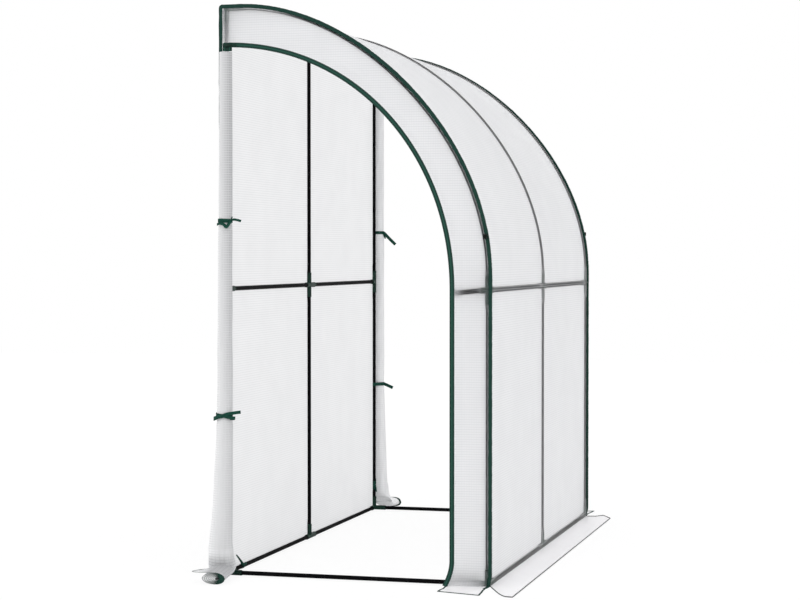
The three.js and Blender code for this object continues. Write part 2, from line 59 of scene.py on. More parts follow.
camera = bpy.data.objects.new("camera", bpy.data.cameras.new("camera"))
camera.data.lens = camera_lens
camera.data.sensor_width = 36
camera.location = camera_place
camera.rotation_euler = np.radians((90 + camera_tilt, 0, camera_yaw))
bpy.context.scene.collection.objects.link(camera)
bpy.context.scene.camera = camera
bpy.context.scene.view_settings.view_transform = "Standard"


# Floor, world and lamps
# A plain white floor under an even white sky, with a broad soft lamp on each side. The camera
# sees sky and floor as white, and the floor keeps a faint shadow of the greenhouse.
floor_reach = 14.0
sky_level = 1.08
floor_white = (0.95, 0.95, 0.95, 1)
floor_glow = 0.86
lamp_spread = 50.0
lamps = {
    "lamp_near_side": ((-0.1, -1.0, 0.6), 0.50),
    "lamp_front_side": ((1.0, -0.35, 0.85), 0.12),
}


class Value:
    """A number in a material's nodes. Its operators add Math nodes."""

    def __init__(self, finish, socket):
        self.finish = finish
        self.socket = socket

    def __add__(self, other):
        return self.finish.math("ADD", self, other)

    def __sub__(self, other):
        return self.finish.math("SUBTRACT", self, other)

    def __rsub__(self, other):
        return self.finish.math("SUBTRACT", other, self)

    def __mul__(self, other):
        return self.finish.math("MULTIPLY", self, other)

    def __truediv__(self, other):
        return self.finish.math("DIVIDE", self, other)

    __radd__ = __add__
    __rmul__ = __mul__


class Finish:
    """A material in the making, or the world's light, where no colour is given."""

    def __init__(self, name, colour=None):
        self.of = "Material" if colour else "World"
        self.made = bpy.data.materials.new(name) if colour else bpy.data.worlds.new(name)
        if colour:
            self.made.diffuse_color = (*colour, 1)
        self.made.use_nodes = True
        self.tree = self.made.node_tree
        self.tree.nodes.clear()

    def node(self, kind, settings=None, sockets=None, output=0):
        """Adds a node, sets its settings, then fills its sockets with values or links."""
        made = self.tree.nodes.new(kind)
        for name, value in (settings or {}).items():
            setattr(made, name, value)
        for name, value in (sockets or {}).items():
            if isinstance(value, Value):
                self.tree.links.new(value.socket, made.inputs[name])
            else:
                made.inputs[name].default_value = value
        return Value(self, made.outputs[output]) if made.outputs else made

    def math(self, operation, *terms):
        """One Math node on the given terms."""
        return self.node("ShaderNodeMath", {"operation": operation}, dict(enumerate(terms)))

    def colours(self, factor, first, second):
        """First colour at factor 0, second at factor 1."""
        first = first if isinstance(first, Value) else (*first, 1)
        second = second if isinstance(second, Value) else (*second, 1)
        sockets = {0: factor, 6: first, 7: second}
        return self.node("ShaderNodeMix", {"data_type": "RGBA"}, sockets, output=2)

    def noise(self, place, scale, detail=2.0, rough=0.5):
        """Soft noise from 0 to 1, about scale lumps to the metre."""
        sockets = {"Vector": place, "Scale": scale, "Detail": detail, "Roughness": rough}
        return self.node("ShaderNodeTexNoise", None, sockets)

    def step(self, value, low, high):
        """0 below low and 1 above high, with a smooth rise between."""
        settings = {"interpolation_type": "SMOOTHSTEP"}
        sockets = {"Value": value, "From Min": low, "From Max": high}
        return self.node("ShaderNodeMapRange", settings, sockets)

    def object_place(self):
        """The place on the piece, in metres."""
        return self.node("ShaderNodeTexCoord", output="Object")

    def part(self, vector, letter):
        """One number of a vector: its X, Y or Z."""
        return self.node("ShaderNodeSeparateXYZ", None, {0: vector}, output=letter)

    def across_and_along(self):
        """The two coordinates of the piece's own UV map, in metres."""
        place = self.node("ShaderNodeUVMap", {"uv_map": "UVMap"})
        return self.part(place, "X"), self.part(place, "Y")

    def bump(self, height, distance, strength=1.0):
        """The surface's normal, tilted by the slope of a height that is counted in distance."""
        sockets = {"Height": height, "Distance": distance, "Strength": strength}
        return self.node("ShaderNodeBump", None, sockets)

    def end(self, shader):
        """Joins the shader to the output, and gives the finished material or world."""
        self.node(f"ShaderNodeOutput{self.of}", None, {"Surface": shader})
        return self.made


floor_mesh = bpy.data.meshes.new("floor")
corners = [(-floor_reach, -floor_reach, 0), (floor_reach, -floor_reach, 0),
           (floor_reach, floor_reach, 0), (-floor_reach, floor_reach, 0)]
floor_mesh.from_pydata(corners, [], [(0, 1, 2, 3)])
floor = bpy.data.objects.new("floor", floor_mesh)
bpy.context.scene.collection.objects.link(floor)
white_floor = Finish("white_floor", (1, 1, 1))
floor_paint = white_floor.node("ShaderNodeBsdfDiffuse", None, {"Color": floor_white})
floor_light = white_floor.node("ShaderNodeEmission", None, {"Color": (1, 1, 1, 1), "Strength": 1.0})
seen = white_floor.node("ShaderNodeLightPath", output="Is Camera Ray") * floor_glow
floor_shader = white_floor.node("ShaderNodeMixShader", None, {0: seen, 1: floor_paint, 2: floor_light})
floor_mesh.materials.append(white_floor.end(floor_shader))

sky = Finish("sky")
straight = sum(sky.node("ShaderNodeLightPath", output=f"Is {ray} Ray")
               for ray in ("Camera", "Glossy", "Transmission"))
sky_light = sky.node("ShaderNodeBackground", None, {"Color": (1, 1, 1, 1), "Strength": sky_level})
sky_white = sky.node("ShaderNodeBackground", None, {"Color": (1, 1, 1, 1), "Strength": 1.0})
seen_sky = sky.math("MINIMUM", straight, 1.0)
sky_shader = sky.node("ShaderNodeMixShader", None, {0: seen_sky, 1: sky_light, 2: sky_white})
bpy.context.scene.world = sky.end(sky_shader)

for name, (towards, power) in lamps.items():
    lamp = bpy.data.objects.new(name, bpy.data.lights.new(name, "SUN"))
    lamp.data.angle = np.radians(lamp_spread)
    lamp.data.energy = power
    level = np.hypot(towards[0], towards[1])
    way = np.arctan2(towards[1], towards[0]) + np.pi / 2
    lamp.rotation_euler = (np.arctan2(level, towards[2]), 0, way)
    bpy.context.scene.collection.objects.link(lamp)


# Straight tubes
# Thin steel tubes with a black powder coat, cut square and pushed into the connectors.
# Each takes its ends from its own solid, and is turned about its axis with a hollow at each end.
tube_radius = 0.008
tube_wall = 0.0006
tube_edge = 0.0004
tube_hollow = 0.030
tube_sides = 28
stay_drop = 0.012
socket_radius = 0.0105
door_width = 0.866
askew = (0.31, 0.52, 0.79)
black_coat = (0.0035, 0.0035, 0.0040)
worn_coat = (0.008, 0.008, 0.009)


def unit(vectors):
    """Each vector divided by its length."""
    return vectors / np.linalg.norm(vectors, axis=-1, keepdims=True)


def lengths_along(path):
    """Distance along a path from its first point to each point."""
    steps = np.linalg.norm(np.diff(path, axis=0), axis=1)
    return np.concatenate([[0], np.cumsum(steps)])


def make_piece(name, grids, material, sharp=40):
    """One object from grids of points. Each grid, (rows, columns, 3), is a sheet of quads, with its UV
    from the second array, and points that meet are welded, which closes seams and poles."""
    points, faces, places, count = [], [], [], 0
    for grid, uv in grids:
        rows, columns = grid.shape[:2]
        index = np.arange(rows * columns).reshape(rows, columns) + count
        quads = np.stack([index[:-1, :-1], index[:-1, 1:], index[1:, 1:], index[1:, :-1]], axis=-1)
        points.append(grid.reshape(-1, 3))
        faces.append(quads.reshape(-1, 4))
        places.append(uv.reshape(-1, 2))
        count += rows * columns
    faces = np.concatenate(faces)
    mesh = bpy.data.meshes.new(name)
    mesh.from_pydata(np.concatenate(points).tolist(), [], faces.tolist())
    layer = mesh.uv_layers.new(name="UVMap")
    layer.uv.foreach_set("vector", np.concatenate(places)[faces.ravel()].astype(np.float32).ravel())
    shell = bmesh.new()
    shell.from_mesh(mesh)
    bmesh.ops.remove_doubles(shell, verts=shell.verts, dist=1e-6)
    shell.to_mesh(mesh)
    shell.free()
    mesh.shade_smooth()
    mesh.set_sharp_from_angle(angle=np.radians(sharp))
    mesh.materials.append(material)
    made = bpy.data.objects.new(name, mesh)
    bpy.context.scene.collection.objects.link(made)
    return made


def sheet_grid(points, along=None, across=None):
    """A grid with its UV in metres: the lengths of its middle column and middle row, unless given."""
    rows, columns = points.shape[:2]
    along = lengths_along(points[:, columns // 2]) if along is None else along
    across = lengths_along(points[rows // 2]) if across is None else across
    return points, np.stack(np.meshgrid(across, along), axis=-1)


def turned(start, end, profile, sides=tube_sides):
    """Rings round the axis from start to end. The profile lists each ring's distance along the axis
    and its radius, and a radius of 0 closes the shape. The rings start square to the direction
    askew, which no tube lies along."""
    axis = unit(end - start)
    side = unit(np.cross(axis, askew))
    other = np.cross(axis, side)
    turn = np.linspace(0, 2 * np.pi, sides + 1)
    ring = np.cos(turn)[:, None] * side + np.sin(turn)[:, None] * other
    along, radius = np.array(profile).T
    points = start + along[:, None, None] * axis + radius[:, None, None] * ring
    widest = radius.max()
    return sheet_grid(points, along, turn * widest)


def tube_profile(length):
    """Outside of a tube and a short way into its bore, closed by a disc at each end."""
    bore = tube_radius - tube_wall
    start = [(tube_hollow, 0), (tube_hollow, bore), (0, bore), (0, tube_radius - tube_edge),
             (tube_edge, tube_radius)]
    return start + [(length - along, radius) for along, radius in reversed(start)]


def solid_axis(node):
    """Ends of a straight tube's axis: its box's longest side, through the middle of the others."""
    low, high = (np.array(corner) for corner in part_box(node))
    start, end = (low + high) / 2, (low + high) / 2
    along = np.argmax(high - low)
    start[along], end[along] = low[along], high[along]
    return start, end


def stay_axis(node):
    """Ends of a stay's axis, which falls towards the doorway: its box less the tilted end discs."""
    low, high = (np.array(corner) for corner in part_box(node))
    reach = high[0] - low[0]
    slope = np.arctan2(stay_drop, frame_depth - door_width)
    inset = tube_radius * np.sin(slope)
    drop = (reach - 2 * inset) * np.tan(slope)
    middle = (low + high) / 2
    return middle + (reach / 2 - inset, 0, drop / 2), middle - (reach / 2 - inset, 0, drop / 2)


frame_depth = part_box("front_base_connector_centre")[1][0] - socket_radius

steel = Finish("black_coated_steel", black_coat)
place = steel.object_place()
coat_lumps = steel.noise(place, 900.0, 3.0)
coat_wear = steel.step(steel.noise(place, 34.0, 4.0, 0.6), 0.52, 0.75)
steel_shader = steel.node("ShaderNodeBsdfPrincipled", None, {
    "Base Color": steel.colours(coat_wear, black_coat, worn_coat),
    "Roughness": 0.46 + 0.12 * coat_wear,
    "Normal": steel.bump(coat_lumps, 0.00006, 0.35),
    "Specular IOR Level": 0.008,
})
black_steel = steel.end(steel_shader)

straight_tubes = [node for node in sorted(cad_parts) if "_bar_" in node or "_post_" in node
                  or "front_leg" in node or "threshold" in node or "_stay" in node]
for node in straight_tubes:
    start, end = stay_axis(node) if "stay" in node else solid_axis(node)
    length = np.linalg.norm(end - start)
    tube = make_piece(f"{node}_tube", [turned(start, end, tube_profile(length))], black_steel)
    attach(tube, "frame_and_cover")
    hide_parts(node)


# Arch tubes
# The same black tube, bent to a curve from the front leg's top to the ridge. The curve starts
# upright and ends level, with a short straight length in the socket at each end.
mid_height = 1.073
ridge_height = 2.118
upright_reach = 0.051
across_reach = 0.056
socket_stop = 0.0123
arch_handle_shares = (0.51, 0.47)
arch_steps = 72


def bezier(corners, steps):
    """Cubic curve: its four corners weighted by the powers of t and 1 - t that add up to three."""
    t = np.linspace(0, 1, steps + 1)[:, None]
    a, b, c, d = np.array(corners, float)
    return a * (1 - t) ** 3 + 3 * b * t * (1 - t) ** 2 + 3 * c * t**2 * (1 - t) + d * t**3


def arch_axis(steps=arch_steps):
    """The arch tube's axis across the greenhouse, as X and Z, from its foot to the ridge."""
    foot = (frame_depth, mid_height + upright_reach)
    top = (across_reach, ridge_height)
    return bezier([
        foot,
        (frame_depth, foot[1] + arch_handle_shares[0] * (ridge_height - foot[1])),
        (top[0] + arch_handle_shares[1] * (frame_depth - top[0]), ridge_height),
        top,
    ], steps)


def closed(rings, first, last):
    """Rings of points closed at both ends, by a first and a last point, each repeated round."""
    first, last = (np.broadcast_to(point, (1, rings.shape[1], 3)) for point in (first, last))
    return np.concatenate([first, rings, last])


def swept(path, side, profile):
    """A profile carried along a path and closed at both ends. The profile's first number lies along
    side, and its second along the cross product of the path's direction and side."""
    path = np.asarray(path, float)
    ahead = unit(np.gradient(path, axis=0))
    side = np.broadcast_to(np.asarray(side, float), path.shape)
    up = unit(np.cross(ahead, side))
    side = unit(np.cross(up, ahead))
    profile = np.broadcast_to(profile, (len(path),) + np.shape(profile)[-2:])
    points = path[:, None] + profile[..., :1] * side[:, None] + profile[..., 1:] * up[:, None]
    along = np.pad(lengths_along(path), 1, mode="edge")
    across = lengths_along(profile[len(path) // 2])
    return sheet_grid(closed(points, path[0], path[-1]), along, across)


def circle(radius, sides=tube_sides):
    """Points round a circle: the cosine and sine of a full turn, times the radius."""
    turn = np.linspace(0, 2 * np.pi, sides + 1)
    return radius * np.stack([np.cos(turn), np.sin(turn)], axis=-1)


curve = arch_axis()
arch_path = np.concatenate([
    [(frame_depth, mid_height + socket_stop)],
    curve,
    [(socket_stop, ridge_height)],
])
for name in ("near", "centre", "far"):
    node = f"arch_tube_{name}"
    low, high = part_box(node)
    y = (low[1] + high[1]) / 2
    path = np.insert(arch_path, 1, y, axis=1)
    tube = make_piece(f"{node}_bent", [swept(path, (0, 1, 0), circle(tube_radius))], black_steel)
    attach(tube, "frame_and_cover")
    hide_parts(node)


# Connectors
# Dark green moulded fittings, one at each meeting of tubes. Every arm is a socket with a rolled
# lip at its mouth and four fine ribs, and the arms meet in a round hub.
bay_length = 0.990
ground_axis = 0.0099
away_reach = 0.070
back_reach = 0.040
stay_reach = 0.024
socket_body = 0.0100
lip_length = 0.006
lip_round = 0.0007
mouth_depth = 0.006
mouth_gap = 0.0002
rib_thick = 0.0011
rib_tall = 0.0104
rib_start = 0.0085
moulded_green = (0.0045, 0.020, 0.0135)
moulded_light = (0.010, 0.036, 0.025)


def arm(centre, direction, reach):
    """A turned socket: body, lip, and the mouth that the tube fills."""
    lip = reach - lip_length
    profile = [
        (0, 0), (0, socket_body), (lip - lip_round, socket_body), (lip, socket_body + lip_round),
        (lip, socket_radius - lip_round), (lip + lip_round, socket_radius),
        (reach - lip_round, socket_radius), (reach, socket_radius - lip_round),
        (reach, tube_radius + mouth_gap), (reach - mouth_depth, tube_radius + mouth_gap),
        (reach - mouth_depth, 0),
    ]
    return turned(centre, centre + direction, profile, 24)


def hub(centre):
    """A ball as wide as the lips, where the arms meet."""
    turn = np.linspace(-np.pi / 2, np.pi / 2, 13)
    profile = np.stack([socket_radius * np.sin(turn), socket_radius * np.cos(turn)], axis=-1)
    profile[[0, -1], 1] = 0
    return turned(centre, centre + np.array((0, 0, 1.0)), profile, 24)


def ribs(centre, direction, reach):
    """Two thin plates through the socket, crossing at right angles, which show as four ribs."""
    side = unit(np.cross(direction, (0.0, 1.0, 0.0) if abs(direction[1]) < 0.5 else (0.0, 0.0, 1.0)))
    other = np.cross(direction, side)
    start, end = centre + direction * rib_start, centre + direction * (reach - lip_length)
    path = start + np.linspace(0, 1, 3)[:, None] * (end - start)
    plate = np.array([(1, -1), (1, 1), (-1, 1), (-1, -1), (1, -1)])
    return [
        swept(path, side, plate * (rib_tall, rib_thick / 2)),
        swept(path, other, plate * (rib_tall, rib_thick / 2)),
    ]


plastic = Finish("moulded_green_plastic", moulded_green)
place = plastic.object_place()
flow = plastic.noise(place, 60.0, 3.0)
grain = plastic.noise(place, 1500.0, 2.0)
plastic_shader = plastic.node("ShaderNodeBsdfPrincipled", None, {
    "Base Color": plastic.colours(plastic.step(flow, 0.35, 0.7), moulded_green, moulded_light),
    "Roughness": 0.42 + 0.16 * flow,
    "Normal": plastic.bump(grain, 0.00008, 0.4),
    "Specular IOR Level": 0.15,
})
green_plastic = plastic.end(plastic_shader)

stay_way = unit(np.array([door_width - frame_depth, 0, -stay_drop]))
up, down = ((0, 0, 1.0), upright_reach), ((0, 0, -1.0), upright_reach)
for index, name in enumerate(("near", "centre", "far")):
    y = (index - 1) * bay_length
    row = [((0, 1.0, 0), away_reach)] * (index < 2) + [((0, -1.0, 0), back_reach)] * (index > 0)
    at_end = index != 1
    fittings = {
        "wall_bottom": ((0, ground_axis), [up] + [((1.0, 0, 0), across_reach)] * at_end),
        "wall_middle": ((0, mid_height), [up, down]),
        "ridge": ((0, ridge_height), [down, ((1.0, 0, 0), across_reach)]),
        "front_base": ((frame_depth, ground_axis), [up] + [((-1.0, 0, 0), across_reach)] * at_end),
        "front_middle": ((frame_depth, mid_height), [up, down] + [(stay_way, stay_reach)] * at_end),
    }
    for stem, ((x, z), arms) in fittings.items():
        node = f"{stem}_connector_{name}"
        centre = np.array([x, y, z])
        grids = [hub(centre)]
        for direction, reach in arms + row:
            direction = np.array(direction, float)
            grids.append(arm(centre, direction, reach))
            grids += ribs(centre, direction, reach)
        for points, _ in grids:
            points[..., 2] = np.maximum(points[..., 2], 0)
        fitting = make_piece(f"{node}_moulding", grids, green_plastic, sharp=35)
        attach(fitting, "frame_and_cover")
        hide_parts(node)


# Roof and front panel
# One sheet of mesh film from the ground up the front, over the arches and back to the wall.
# It lies on the tubes, lifts over the connectors, and is drawn in a little between the arches.
film_rest = 0.0083
connector_lift = 0.0024
film_settle = -0.0065
tight_wrap = 0.93
held_reach = 0.012
free_reach = 0.06
skirt_flare = 0.0112
film_bottom = 0.002
half_span = 1.0002
roof_rows = 230
roof_columns = 250
bay_sag = 0.004
sag_starts = 0.25
sag_ends = 0.12
row_margin = 0.025
joint_margin = 0.020
raise_fade = 0.020
foot_upright = 0.002
foot_upright_fade = 0.004
flare_height = 0.0045
flare_fade = 0.003
roof_folds = ((0.0011, 0.22, 3), (0.0006, 0.07, 4))
film_white = (0.93, 0.932, 0.94)
film_thread = (0.80, 0.803, 0.812)
film_sheer = 0.04
thread_sheer = 0.42
mesh_pitch = 0.009
thread_share = 0.24
frame_ys = np.array([-bay_length, 0, bay_length])


def ripples(u, v, wave, seed, count=9):
    """A smooth crumpled height from about -1 to 1: waves of one length in different directions."""
    rng = np.random.default_rng(seed)
    turns = rng.uniform(0, np.pi, count)
    phases = rng.uniform(0, 2 * np.pi, count)
    pitches = 2 * np.pi / (wave * rng.uniform(0.75, 1.6, count))
    height = 0
    for turn, phase, pitch in zip(turns, phases, pitches):
        height = height + np.sin(pitch * (np.cos(turn) * u + np.sin(turn) * v) + phase)
    return height / count**0.5 / 1.4


def smooth(value):
    """0 at and below 0, 1 at and above 1, with a smooth rise between."""
    t = np.clip(value, 0, 1)
    return t * t * (3 - 2 * t)


def even(path, count):
    """The path's points spaced evenly along its length."""
    there = lengths_along(path)
    wanted = np.linspace(0, there[-1], count)
    return np.stack([np.interp(wanted, there, column) for column in np.transpose(path)], axis=-1)


def gathered(low, high, places, count, reach=0.03, pull=5.0):
    """Values from low to high, closer together round the given places: even steps of a sum that
    climbs faster there."""
    fine = np.linspace(low, high, 4000)
    weight = 1 + sum(pull * np.exp(-(((fine - place) / reach) ** 2)) for place in places)
    total = np.cumsum(weight)
    return np.interp(np.linspace(total[0], total[-1], count), total, fine)


def over_tube(distance, radius, settle, wrap):
    """Height of film drawn over a round tube, from the tube's axis: a circle out to a share of the
    radius, then a fall along its tangent that fades out at the settled height."""
    away = np.abs(distance)
    bend = wrap * radius
    top = np.sqrt(np.maximum(radius**2 - np.minimum(away, bend) ** 2, 0))
    edge = np.maximum(radius * np.sqrt(1 - wrap**2) - settle, 0.0005)
    slope = wrap / np.sqrt(1 - wrap**2)
    fade = settle + edge * np.exp(-np.maximum(away - bend, 0) * slope / edge)
    return np.where(away < bend, np.maximum(top, settle), fade)


def near_socket(distance, reach, margin, fade=0.010):
    """1 over a socket of the given reach, fading to 0 within a margin past it."""
    return smooth((reach + margin - distance) / fade)


def over_frame(y, along, joints, settle, wrap):
    """Film laid on the uprights and, at the joints along them, on the bars: the higher of the two
    rounds, each raised where it passes over sockets. Gives its height, the distance from the
    nearest upright, how freely it hangs, and the raise over the bars' sockets."""
    from_frame = np.abs(y[..., None] - frame_ys).min(-1)
    from_joint = np.abs(along[..., None] - joints).min(-1)
    on_row = connector_lift * near_socket(from_frame, away_reach, row_margin, raise_fade)
    on_upright = connector_lift * near_socket(from_joint, across_reach, joint_margin, raise_fade)
    upright = over_tube(from_frame, film_rest + on_upright, settle, wrap)
    row = over_tube(from_joint, film_rest + on_row, settle, wrap)
    free = smooth((from_frame - held_reach) / free_reach) * smooth((from_joint - held_reach) / free_reach)
    return np.maximum(upright, row), from_frame, free, on_row


def front_axis(wall_x, count):
    """The line through the front leg, the arch and the ridge, as X and Z, to wall_x."""
    return even(np.concatenate([[(frame_depth, 0)], arch_axis(), [(wall_x, ridge_height)]]), count)


def outward(path):
    """The direction away from the greenhouse at each point of a path that runs up the front."""
    ahead = unit(np.gradient(path, axis=0))
    return np.stack([ahead[:, 1], -ahead[:, 0]], axis=-1)


def thread_grid(film, lengthwise, soft=0.06):
    """A grid of flat threads one pitch apart: 1 on a thread and 0 between. The threads that run
    along the film count only at the share given as lengthwise."""
    across, along = (film.math("PINGPONG", place / mesh_pitch, 0.5) for place in film.across_and_along())
    edges = thread_share / 2 + soft, thread_share / 2 - soft
    return film.math("MAXIMUM", film.step(across, *edges) * lengthwise, film.step(along, *edges))


def film_finish(name, white, thread, sheer, thread_sheer):
    """Mesh film: white film over a grid of flat threads. The film glows with the light behind it,
    and the threads less so, and both are crumpled a little."""
    film = Finish(name, white)
    threads = thread_grid(film, 0.45)
    place = film.object_place()
    cloudy = film.noise(place, 7.0, 3.0)
    crumple = film.noise(place, 26.0, 4.0, 0.62)
    height = threads * 0.12 + crumple
    shade = film.colours(threads, white, thread)
    shade = film.colours(film.step(cloudy, 0.3, 0.75) * 0.25, shade, thread)
    sheen = film.node("ShaderNodeBsdfPrincipled", None, {
        "Base Color": shade,
        "Roughness": 0.48 - 0.1 * threads,
        "Normal": film.bump(height, 0.0028, 0.5),
        "Specular IOR Level": 0.25,
    })
    glow = film.node("ShaderNodeBsdfTranslucent", None, {"Color": shade})
    share = sheer + (thread_sheer - sheer) * threads
    return film.end(film.node("ShaderNodeMixShader", None, {0: share, 1: glow, 2: sheen}))


mesh_film = film_finish("mesh_film", film_white, film_thread, film_sheer, thread_sheer)

roof_line = front_axis(-film_rest, 3000)
line_along = lengths_along(roof_line)
ridge_s = line_along[-1] - film_rest
roof_joints = np.array([ground_axis, mid_height, ridge_s])
rows_at = gathered(0, line_along[-1], roof_joints, roof_rows, 0.02, 11.0)
roof_axis = np.stack([np.interp(rows_at, line_along, column) for column in roof_line.T], axis=-1)
across = gathered(-half_span, half_span, frame_ys, roof_columns, 0.02, 11.0)
s, y = np.meshgrid(rows_at, across, indexing="ij")
rise, from_frame, free, on_row = over_frame(y, s, roof_joints, film_settle, tight_wrap)
in_arch = smooth((s - mid_height - upright_reach) / sag_starts) * smooth((ridge_s - s) / sag_ends)
in_bay = np.sin(np.pi * np.clip(from_frame / bay_length, 0, 1))
rise = rise - bay_sag * in_arch * in_bay
rise = rise + free * sum(height * ripples(s, y, wave, seed) for height, wave, seed in roof_folds)
corner_reach = film_rest + on_row[0]
rise = np.where(s > ridge_s, corner_reach, rise)
# Foot: upright below the bar, then out to the skirt's fold
rise = np.maximum(rise, film_rest * smooth((ground_axis + foot_upright - s) / foot_upright_fade))
rise = np.maximum(rise, skirt_flare * smooth((flare_height - s) / flare_fade))
normal = outward(roof_axis)
roof_x = np.where(s > ridge_s, roof_axis[:, None, 0] * corner_reach / film_rest, roof_axis[:, None, 0])
roof_points = np.stack([
    roof_x + rise * normal[:, None, 0],
    y,
    np.maximum(roof_axis[:, None, 1] + rise * normal[:, None, 1], film_bottom),
], axis=-1)
roof = make_piece("roof_and_front_film", [sheet_grid(roof_points, rows_at, across)], mesh_film)
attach(roof, "frame_and_cover")
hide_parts("roof_and_front_panel")


# Back panel
# A flat sheet of film behind the wall posts, sewn to the roof at the ridge: the roof's film with a
# darker white, which is painted shade. It hangs against the posts and bars, with soft folds down from the
# ridge.
back_settle = 0.0045
loose_wrap = 0.88
back_folds = ((0.0009, 0.25, 0.13, 11), (0.0010, 1.0, 0.24, 12))
back_rows = 130
back_columns = 130
# Painted shade: the back film's white and thread are darker than the roof film's, to dim the back panel
back_shaded_white = (0.850, 0.852, 0.860)
back_shaded_thread = (0.730, 0.733, 0.742)

back_film = film_finish("back_mesh_film_painted_shade", back_shaded_white, back_shaded_thread, film_sheer, thread_sheer)
back_joints = np.array([ground_axis, mid_height, ridge_height])
z = gathered(film_bottom, ridge_height, back_joints, back_rows, 0.02)
z, y = np.meshgrid(z, gathered(-half_span, half_span, frame_ys, back_columns), indexing="ij")
rise, _, free, on_row = over_frame(y, z, back_joints, back_settle, loose_wrap)
folds = sum(height * ripples(y, upright * z, wave, seed) for height, upright, wave, seed in back_folds)
back_points = np.stack([-rise - free * (0.0004 + np.abs(folds)), y, z], axis=-1)
top_row = back_points[-1:].copy()
top_row[..., 0] = -(film_rest + on_row[-1])
top_row[..., 2] = ridge_height - top_row[..., 0]
back_points = np.concatenate([back_points, top_row])[:, ::-1]
back = make_piece("back_film", [sheet_grid(back_points)], back_film)
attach(back, "frame_and_cover")
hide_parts("back_panel")


# End panels
# A strip of film at each end that follows the arch, from the bound outer seam in to the zip.
# It is cut to the curve, so it lies flat across the end tubes with a few soft creases.
door_height = 1.978
door_handle_shares = (0.56, 0.56)
strip_settle = 0.0030
strip_edge_face = 1.0018
front_part = 0.5
stay_part = 0.8
top_part = 1.9
low_part = 0.1
strip_margin = 0.012
bar_margin = 0.014
short_fade = 0.008
lift_height = 0.055
lift_fade = 0.04
slack_reach = 0.30
slack_fade = 0.15
zip_hold = 0.052
zip_fade = 0.042
seam_hold = 0.003
seam_fade = 0.0035
strip_rise = 0.0065
strip_flat_part = 0.032
strip_inner_width = 0.104
wall_edge = -0.024
strip_rows = 280
strip_columns = (18, 38)
strip_flare = 0.003
strip_crease = 0.0012
strip_slack = 0.0045
foot_curl = 0.09
foot_out = (-0.016, 0.050, 0.003)
foot_inside = 0.13
foot_fold = ((1.008, 0.020), (1.036, 0.008))
# Painted light: the end film's white and thread are lighter than the roof film's, to brighten the end
# strips
end_lit_white = (0.95, 0.952, 0.960)
end_lit_thread = (0.84, 0.843, 0.852)
end_sheer = 0.008
end_thread_sheer = 0.085


def door_line(distance, wall_x, count, foot=film_bottom):
    """The doorway's edge moved outwards, as X and Z: up the front side, then over to the wall."""
    wide, tall = door_width + distance, door_height + distance
    arc = bezier([
        (wide, mid_height), (wide, mid_height + door_handle_shares[0] * (tall - mid_height)),
        (door_handle_shares[1] * wide, tall), (0, tall),
    ], arch_steps)
    return even(np.concatenate([[(wide, foot)], arc, [(wall_x, tall)]]), count)


def front_line(distance, wall_x, count, foot=film_bottom, at_wall=None):
    """The outer line of the arch moved outwards, as X and Z, from the ground to wall_x. Above mid
    height the distance may change smoothly to another at the wall."""
    axis = front_axis(wall_x, 6 * count)
    climb = (lengths_along(axis) - mid_height) / (lengths_along(axis)[-1] - mid_height)
    at_wall = distance if at_wall is None else at_wall
    line = axis + (distance + (at_wall - distance) * smooth(climb))[:, None] * outward(axis)
    line[0, 1] = foot
    return even(line, count)


def by_rows(line, rows):
    """Points of a line at rows counted 0 to 1 up to mid height, and 1 to 2 from there to its end."""
    there = lengths_along(line)
    at = np.minimum(rows, 1) * mid_height + np.maximum(rows - 1, 0) * (there[-1] - mid_height)
    return np.stack([np.interp(at, there, column) for column in line.T], axis=-1)


def curled_out(points, sign, share=1.0):
    """The front foot drawn out over the end skirt: along foot_out, by the square of how far a
    point is below foot_curl, times a share."""
    swing = np.clip(1 - points[..., 2] / foot_curl, 0, 1) ** 2 * share * (points[..., 0] > front_part)
    return points + swing[..., None] * np.array(foot_out) * (1, sign, 1)


end_film = film_finish("end_mesh_film_painted_light", end_lit_white, end_lit_thread, end_sheer, end_thread_sheer)
rows_at = gathered(0, 2, (0.009, 0.994, 1.986), strip_rows, 0.015, 12.0)
share = np.linspace(0, 1, strip_columns[0], endpoint=False)[:, None]
offsets = gathered(-strip_flat_part, strip_rise, (-0.008, 0.002), strip_columns[1], 0.005, 1.5)
inner = by_rows(door_line(0.0, wall_edge, 1500), rows_at)[:, None]
bands = np.stack([by_rows(front_line(offset, wall_edge, 1500), rows_at) for offset in offsets], axis=1)
flat = np.concatenate([inner + share * (bands[:, :1] - inner), bands], axis=1)
from_axis = np.concatenate([(share[:, 0] - 1) * strip_inner_width - strip_flat_part, offsets])
from_inner = from_axis + strip_inner_width + strip_flat_part
x, z = flat[..., 0], flat[..., 1]
at_top = z > top_part
near_joint = np.maximum.reduce([
    near_socket(np.abs(z - mid_height), across_reach, strip_margin) * (x > front_part),
    near_socket(np.abs(x), across_reach, strip_margin) * at_top,
    near_socket(z, across_reach, strip_margin),
])
from_stay = z - mid_height + stay_drop * (frame_depth - x) / (frame_depth - door_width)
on_stay = near_socket(frame_depth - x, stay_reach, strip_margin, short_fade)
on_post = near_socket(ridge_height - z, upright_reach, bar_margin)
on_threshold = near_socket(frame_depth - x, across_reach, bar_margin, short_fade)
# Tubes that the strip crosses: distance from each axis, its sockets, how tightly, and where
crossed = (
    (from_axis, near_joint, loose_wrap, True),
    (from_stay, on_stay, tight_wrap, x > stay_part),
    (x, on_post, loose_wrap, at_top),
    (z - ground_axis, on_threshold, loose_wrap, z < low_part),
)
hug = np.maximum.reduce([
    np.where(where, over_tube(distance, film_rest + connector_lift * on_socket, strip_settle, wrap), 0)
    for distance, on_socket, wrap, where in crossed])
